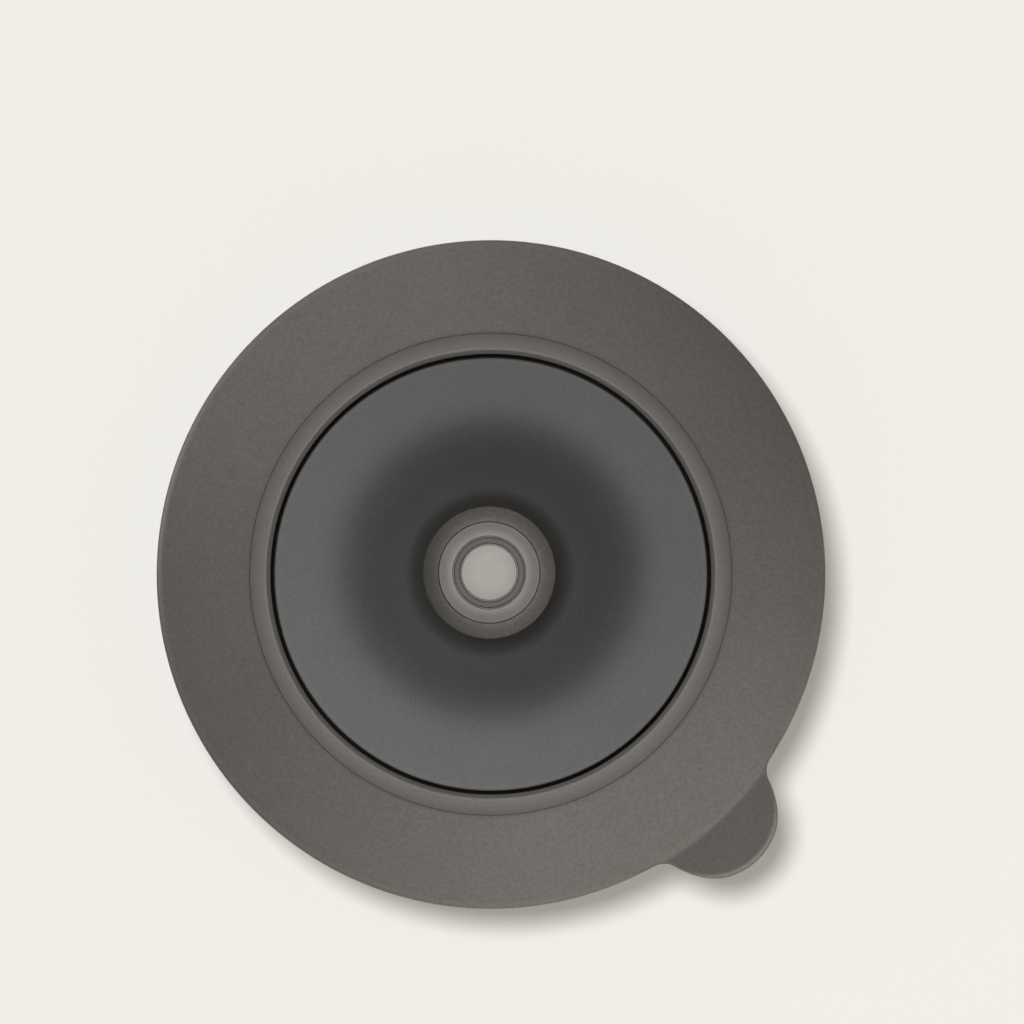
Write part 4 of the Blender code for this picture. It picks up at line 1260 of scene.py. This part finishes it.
def makeStem():
    radius, low, high = stem["radius"], stem["threadLow"], stem["threadHigh"]
    corners = [(0.0, stem["tip"], 0), (radius - stem["chamfer"], stem["tip"], 0.3)]
    corners.append((radius, stem["tip"] + stem["chamfer"], 0.4))
    for level in stem["grooves"]:
        corners += veeCorners(radius, level, stem["grooveHalf"], -stem["grooveDepth"], (0.2, 0.5))
    rows = round((high - low) / stem["pitch"] * stem["rowsPerPitch"])
    corners += [(radius, low + (high - low) * row / rows, 0) for row in range(rows + 1)]
    corners += cornersOf(stem, [
        ("radius", "shoulder", 0.2), ("studRadius", "shoulder", 0.2), ("studRadius", "studTop", 0.3),
        (0.0, "studTop", 0),
    ])
    post = turnOutlines([(roundOutline(corners, closed=False), False)], smallSides, stemSteel)
    values = {
        "Post Radius": radius * mm, "Low": low * mm, "High": high * mm, "Pitch": stem["pitch"] * mm,
        "Depth": stem["threadDepth"] * mm, "Steepness": stem["threadSteepness"], "Finish": stemSteel,
    }
    threaded = runTree(cutThreadTree, post, values)
    piece = newObject("stemPost", joinMeshes("stemPost", [threaded], stemSteel))
    dress(piece, "stopper", "stem")


def makeWasher():
    corners = cornersOf(washer, [
        ("hole", "low", 0.15), ("radius", "low", 0.25), ("radius", "top", 0.12), ("hole", "top", 0.12),
    ])
    piece = turnedPiece("washerDisc", corners, smallSides, stemSteel)
    dress(piece, "stopper", "clamp_washer")


# A hexagon trimmed by a chamfered round body, then bored with a countersink at each end.
def makeNut():
    low, top, flat, bore, chamfer = (nut[name] for name in ("low", "top", "flat", "bore", "chamfer"))
    corner = flat / math.cos(math.pi / 6)
    hexagon = [polar(math.tau * i / 6, corner) for i in range(6)]
    mesh = prismMesh("nutBody", hexagon, low, top)
    mesh.materials.append(stemSteel)
    piece = newObject("nutBody", mesh)
    face, clear, wide = flat - nut["chamferInset"], nut["clear"], corner + 2 * nut["chamferInset"]
    trim = [
        (0.0, low - clear, 0), (face, low - clear, 0), (wide, low + chamfer, 0),
        (wide, top - chamfer, 0), (face, top + clear, 0), (0.0, top + clear, 0),
    ]
    mouth, over, sink = bore + nut["countersinkReach"], nut["overrun"], nut["countersink"]
    hole = [
        (0.0, low - over, 0), (mouth, low - over, 0), (bore, low + sink, 0),
        (bore, top - sink, 0), (mouth, top + over, 0), (0.0, top + over, 0),
    ]
    for name, corners, operation in (("nutTrim", trim, "INTERSECT"), ("nutBore", hole, "DIFFERENCE")):
        cutWith(piece, turnedPiece(name, corners, smallSides, stemSteel, closed=False), operation)
    piece.data = joinMeshes("nutBody", [piece.data], stemSteel)
    piece.data.set_sharp_from_angle(angle=math.radians(nut["sharpAngle"]))
    dress(piece, "stopper", "clamp_nut")


# Knob

knob = {
    "radius": 11.1, "low": 51.95, "top": 57.75, "edgeRound": 0.35, "footInset": 0.7, "footHeight": 1.2,
    "crownRadius": 8.9, "crownDrop": 0.5, "crownSteps": 8, "bore": 5.3, "seat": 54.6, "recessRadius": 8.53,
}
inlay = {
    "radius": 8.5, "low": 56.4, "top": 57.5, "grooveInner": 4.65, "grooveOuter": 6.15, "grooveLow": 56.95,
}
trimRing = {"inner": 4.85, "outer": 5.95, "low": 57.15, "top": 57.65}


def makeGrip():
    corners = cornersOf(knob, [
        ("bore", "seat", 0.1), ("bore", "low", 0.3), (knob["radius"] - knob["footInset"], "low", 0.35),
        ("radius", knob["low"] + knob["footHeight"], 1.2),
        ("radius", knob["top"] - knob["crownDrop"], "edgeRound"),
    ])
    for step in range(1, knob["crownSteps"] + 1):
        share = 1 - step / knob["crownSteps"]
        radius = knob["crownRadius"] + (knob["radius"] - knob["crownRadius"]) * share
        corners.append((radius, knob["top"] - knob["crownDrop"] * share ** 2, 0))
    corners += cornersOf(knob, [("recessRadius", "top", 0.12), ("recessRadius", "seat", 0.1)])
    piece = turnedPiece("gripCap", corners, largeSides, gripRubber, steps=8)
    dress(piece, "stopper", "knob_grip")


def makeInlay():
    corners = cornersOf(inlay, [
        (0.0, "low", 0), ("radius", "low", 0.2), ("radius", "top", 0.12), ("grooveOuter", "top", 0.08),
        ("grooveOuter", "grooveLow", 0.08), ("grooveInner", "grooveLow", 0.08), ("grooveInner", "top", 0.08),
        (0.0, "top", 0),
    ])
    piece = turnedPiece("inlayDisc", corners, largeSides, inlayMetal, closed=False)
    dress(piece, "stopper", "knob_inlay")


def makeTrimRing():
    corners = cornersOf(trimRing, [
        ("inner", "low", 0.08), ("outer", "low", 0.08), ("outer", "top", 0.22), ("inner", "top", 0.22),
    ])
    piece = turnedPiece("trimHoop", corners, largeSides, trimMetal)
    dress(piece, "stopper", "knob_trim_ring")


print("Building the stopper")
makeShell()
makeSeal()
makeRetainer()
makeStem()
makeWasher()
makeNut()
makeGrip()
makeInlay()
makeTrimRing()

# The rubber rings and the knob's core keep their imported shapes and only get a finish.
packedFinishes = {"detent_ring": sealSilicone, "stem_seal": sealSilicone, "knob_core": basketPlastic}
for name, finish in packedFinishes.items():
    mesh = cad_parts[name].data
    mesh.materials.clear()
    mesh.materials.append(finish)


# Floor, light and camera

floorLook = {
    "colour": (0.925, 0.936, 0.922), "specks": (1.0, 0.004), "clouds": (200.0, 0.004), "glow": 0.18,
    "fixed": {"Roughness": 0.95, "Specular IOR Level": 0.1}, "reach": 4.0, "drop": 0.2,
}
studio = {
    "worldColour": (1.0, 0.83, 0.64), "worldStrength": 0.16, "lampTarget": (0.0, 0.0, 0.03),
    "cameraPlace": (0.0144, -0.015, 1.236), "cameraTarget": (0.00362, 0.0106, 0.036),
    "lens": 247.15, "sensorWidth": 36.0, "farthest": 10.0,
}

# The key gives the light and the soft shadow, the box what the satin faces reflect, the low lamp fills
# in from the viewer's side without a shadow, and the side lamp only catches the flange's left edge.
lamps = {
    "key": {
        "place": (-0.115, 0.136, 1.59), "size": 0.24, "watts": 17.5, "colour": (1.0, 0.99, 0.97),
        "shadow": True, "off": "visible_glossy",
    },
    "box": {
        "place": (-0.05, -0.12, 1.5), "size": 1.9, "watts": 17.0, "colour": (1.0, 1.0, 1.0),
        "shadow": True, "off": "visible_diffuse",
    },
    "low": {
        "place": (0.3, -0.4, 0.7), "size": 0.3, "watts": 1.0, "colour": (1.0, 0.9, 0.8),
        "shadow": False, "off": "visible_glossy",
    },
    "side": {
        "place": (-1.0, 0.25, 0.6), "size": 0.4, "watts": 6.0, "colour": (1.0, 1.0, 1.0),
        "shadow": False, "off": "visible_diffuse",
    },
}


# The floor glows a little to what sees it, so that it stays as pale as in the photo.
def makeFloor():
    reach = floorLook["reach"]
    corners = [(-reach, -reach), (reach, -reach), (reach, reach), (-reach, reach)]
    mesh = bpy.data.meshes.new("floor")
    mesh.from_pydata([(x, y, -floorLook["drop"] * mm) for x, y in corners], [], [(0, 1, 2, 3)])
    material, tree, shaderInputs, place = startMaterial("floorPaint", floorLook)
    colour = mottle(tree, place, opaque(floorLook["colour"]), floorLook)
    setInput(shaderInputs["Base Color"], colour)
    glow = termOf(tree, "ShaderNodeEmission", {"Color": colour})
    path = addNode(tree, "ShaderNodeLightPath").outputs
    seen = maths("MAXIMUM", Term(path["Is Camera Ray"]), Term(path["Is Glossy Ray"]))
    seen = maths("MAXIMUM", seen, Term(path["Is Transmission Ray"]))
    paint = Term(tree.nodes["Principled BSDF"].outputs[0])
    mixed = termOf(tree, "ShaderNodeMixShader", {0: seen * floorLook["glow"], 1: paint, 2: glow})
    setInput(tree.nodes["Material Output"].inputs["Surface"], mixed)
    tidyTree(tree)
    mesh.materials.append(material)
    newObject("floor", mesh)


# Turns a lamp or camera at place to look at target, with +Y of the scene upwards in its view.
def aimAt(item, place, target):
    ahead = (Vector(target) - Vector(place)).normalized()
    side = ahead.cross(Vector((0.0, 1.0, 0.0))).normalized()
    turn = Matrix((side, side.cross(ahead), -ahead)).transposed()
    item.matrix_world = Matrix.Translation(place) @ turn.to_4x4()


def makeLamps():
    for name, look in lamps.items():
        data = bpy.data.lights.new(name, "AREA")
        data.shape = "DISK"
        data.size = look["size"]
        data.energy = look["watts"]
        data.color = look["colour"]
        data.use_shadow = look["shadow"]
        lamp = newObject(name, data)
        aimAt(lamp, look["place"], studio["lampTarget"])
        setAll(lamp, {"visible_camera": False, look["off"]: False})
    lit = bpy.data.collections.new("litFromTheSide")
    lit.objects.link(bpy.data.objects["flangeBody"])
    bpy.data.objects["side"].light_linking.receiver_collection = lit


def makeWorld():
    world = bpy.data.worlds.new("studio")
    world.use_nodes = True
    background = world.node_tree.nodes["Background"]
    background.inputs["Color"].default_value = opaque(studio["worldColour"])
    background.inputs["Strength"].default_value = studio["worldStrength"]
    scene.world = world


def makeCamera():
    data = bpy.data.cameras.new("camera")
    data.lens = studio["lens"]
    data.sensor_width = studio["sensorWidth"]
    data.clip_end = studio["farthest"]
    camera = newObject("camera", data)
    aimAt(camera, studio["cameraPlace"], studio["cameraTarget"])
    scene.camera = camera


print("Setting up the studio")
makeFloor()
makeLamps()
makeWorld()
makeCamera()
scene.view_settings.view_transform = "Standard"

print("Done")
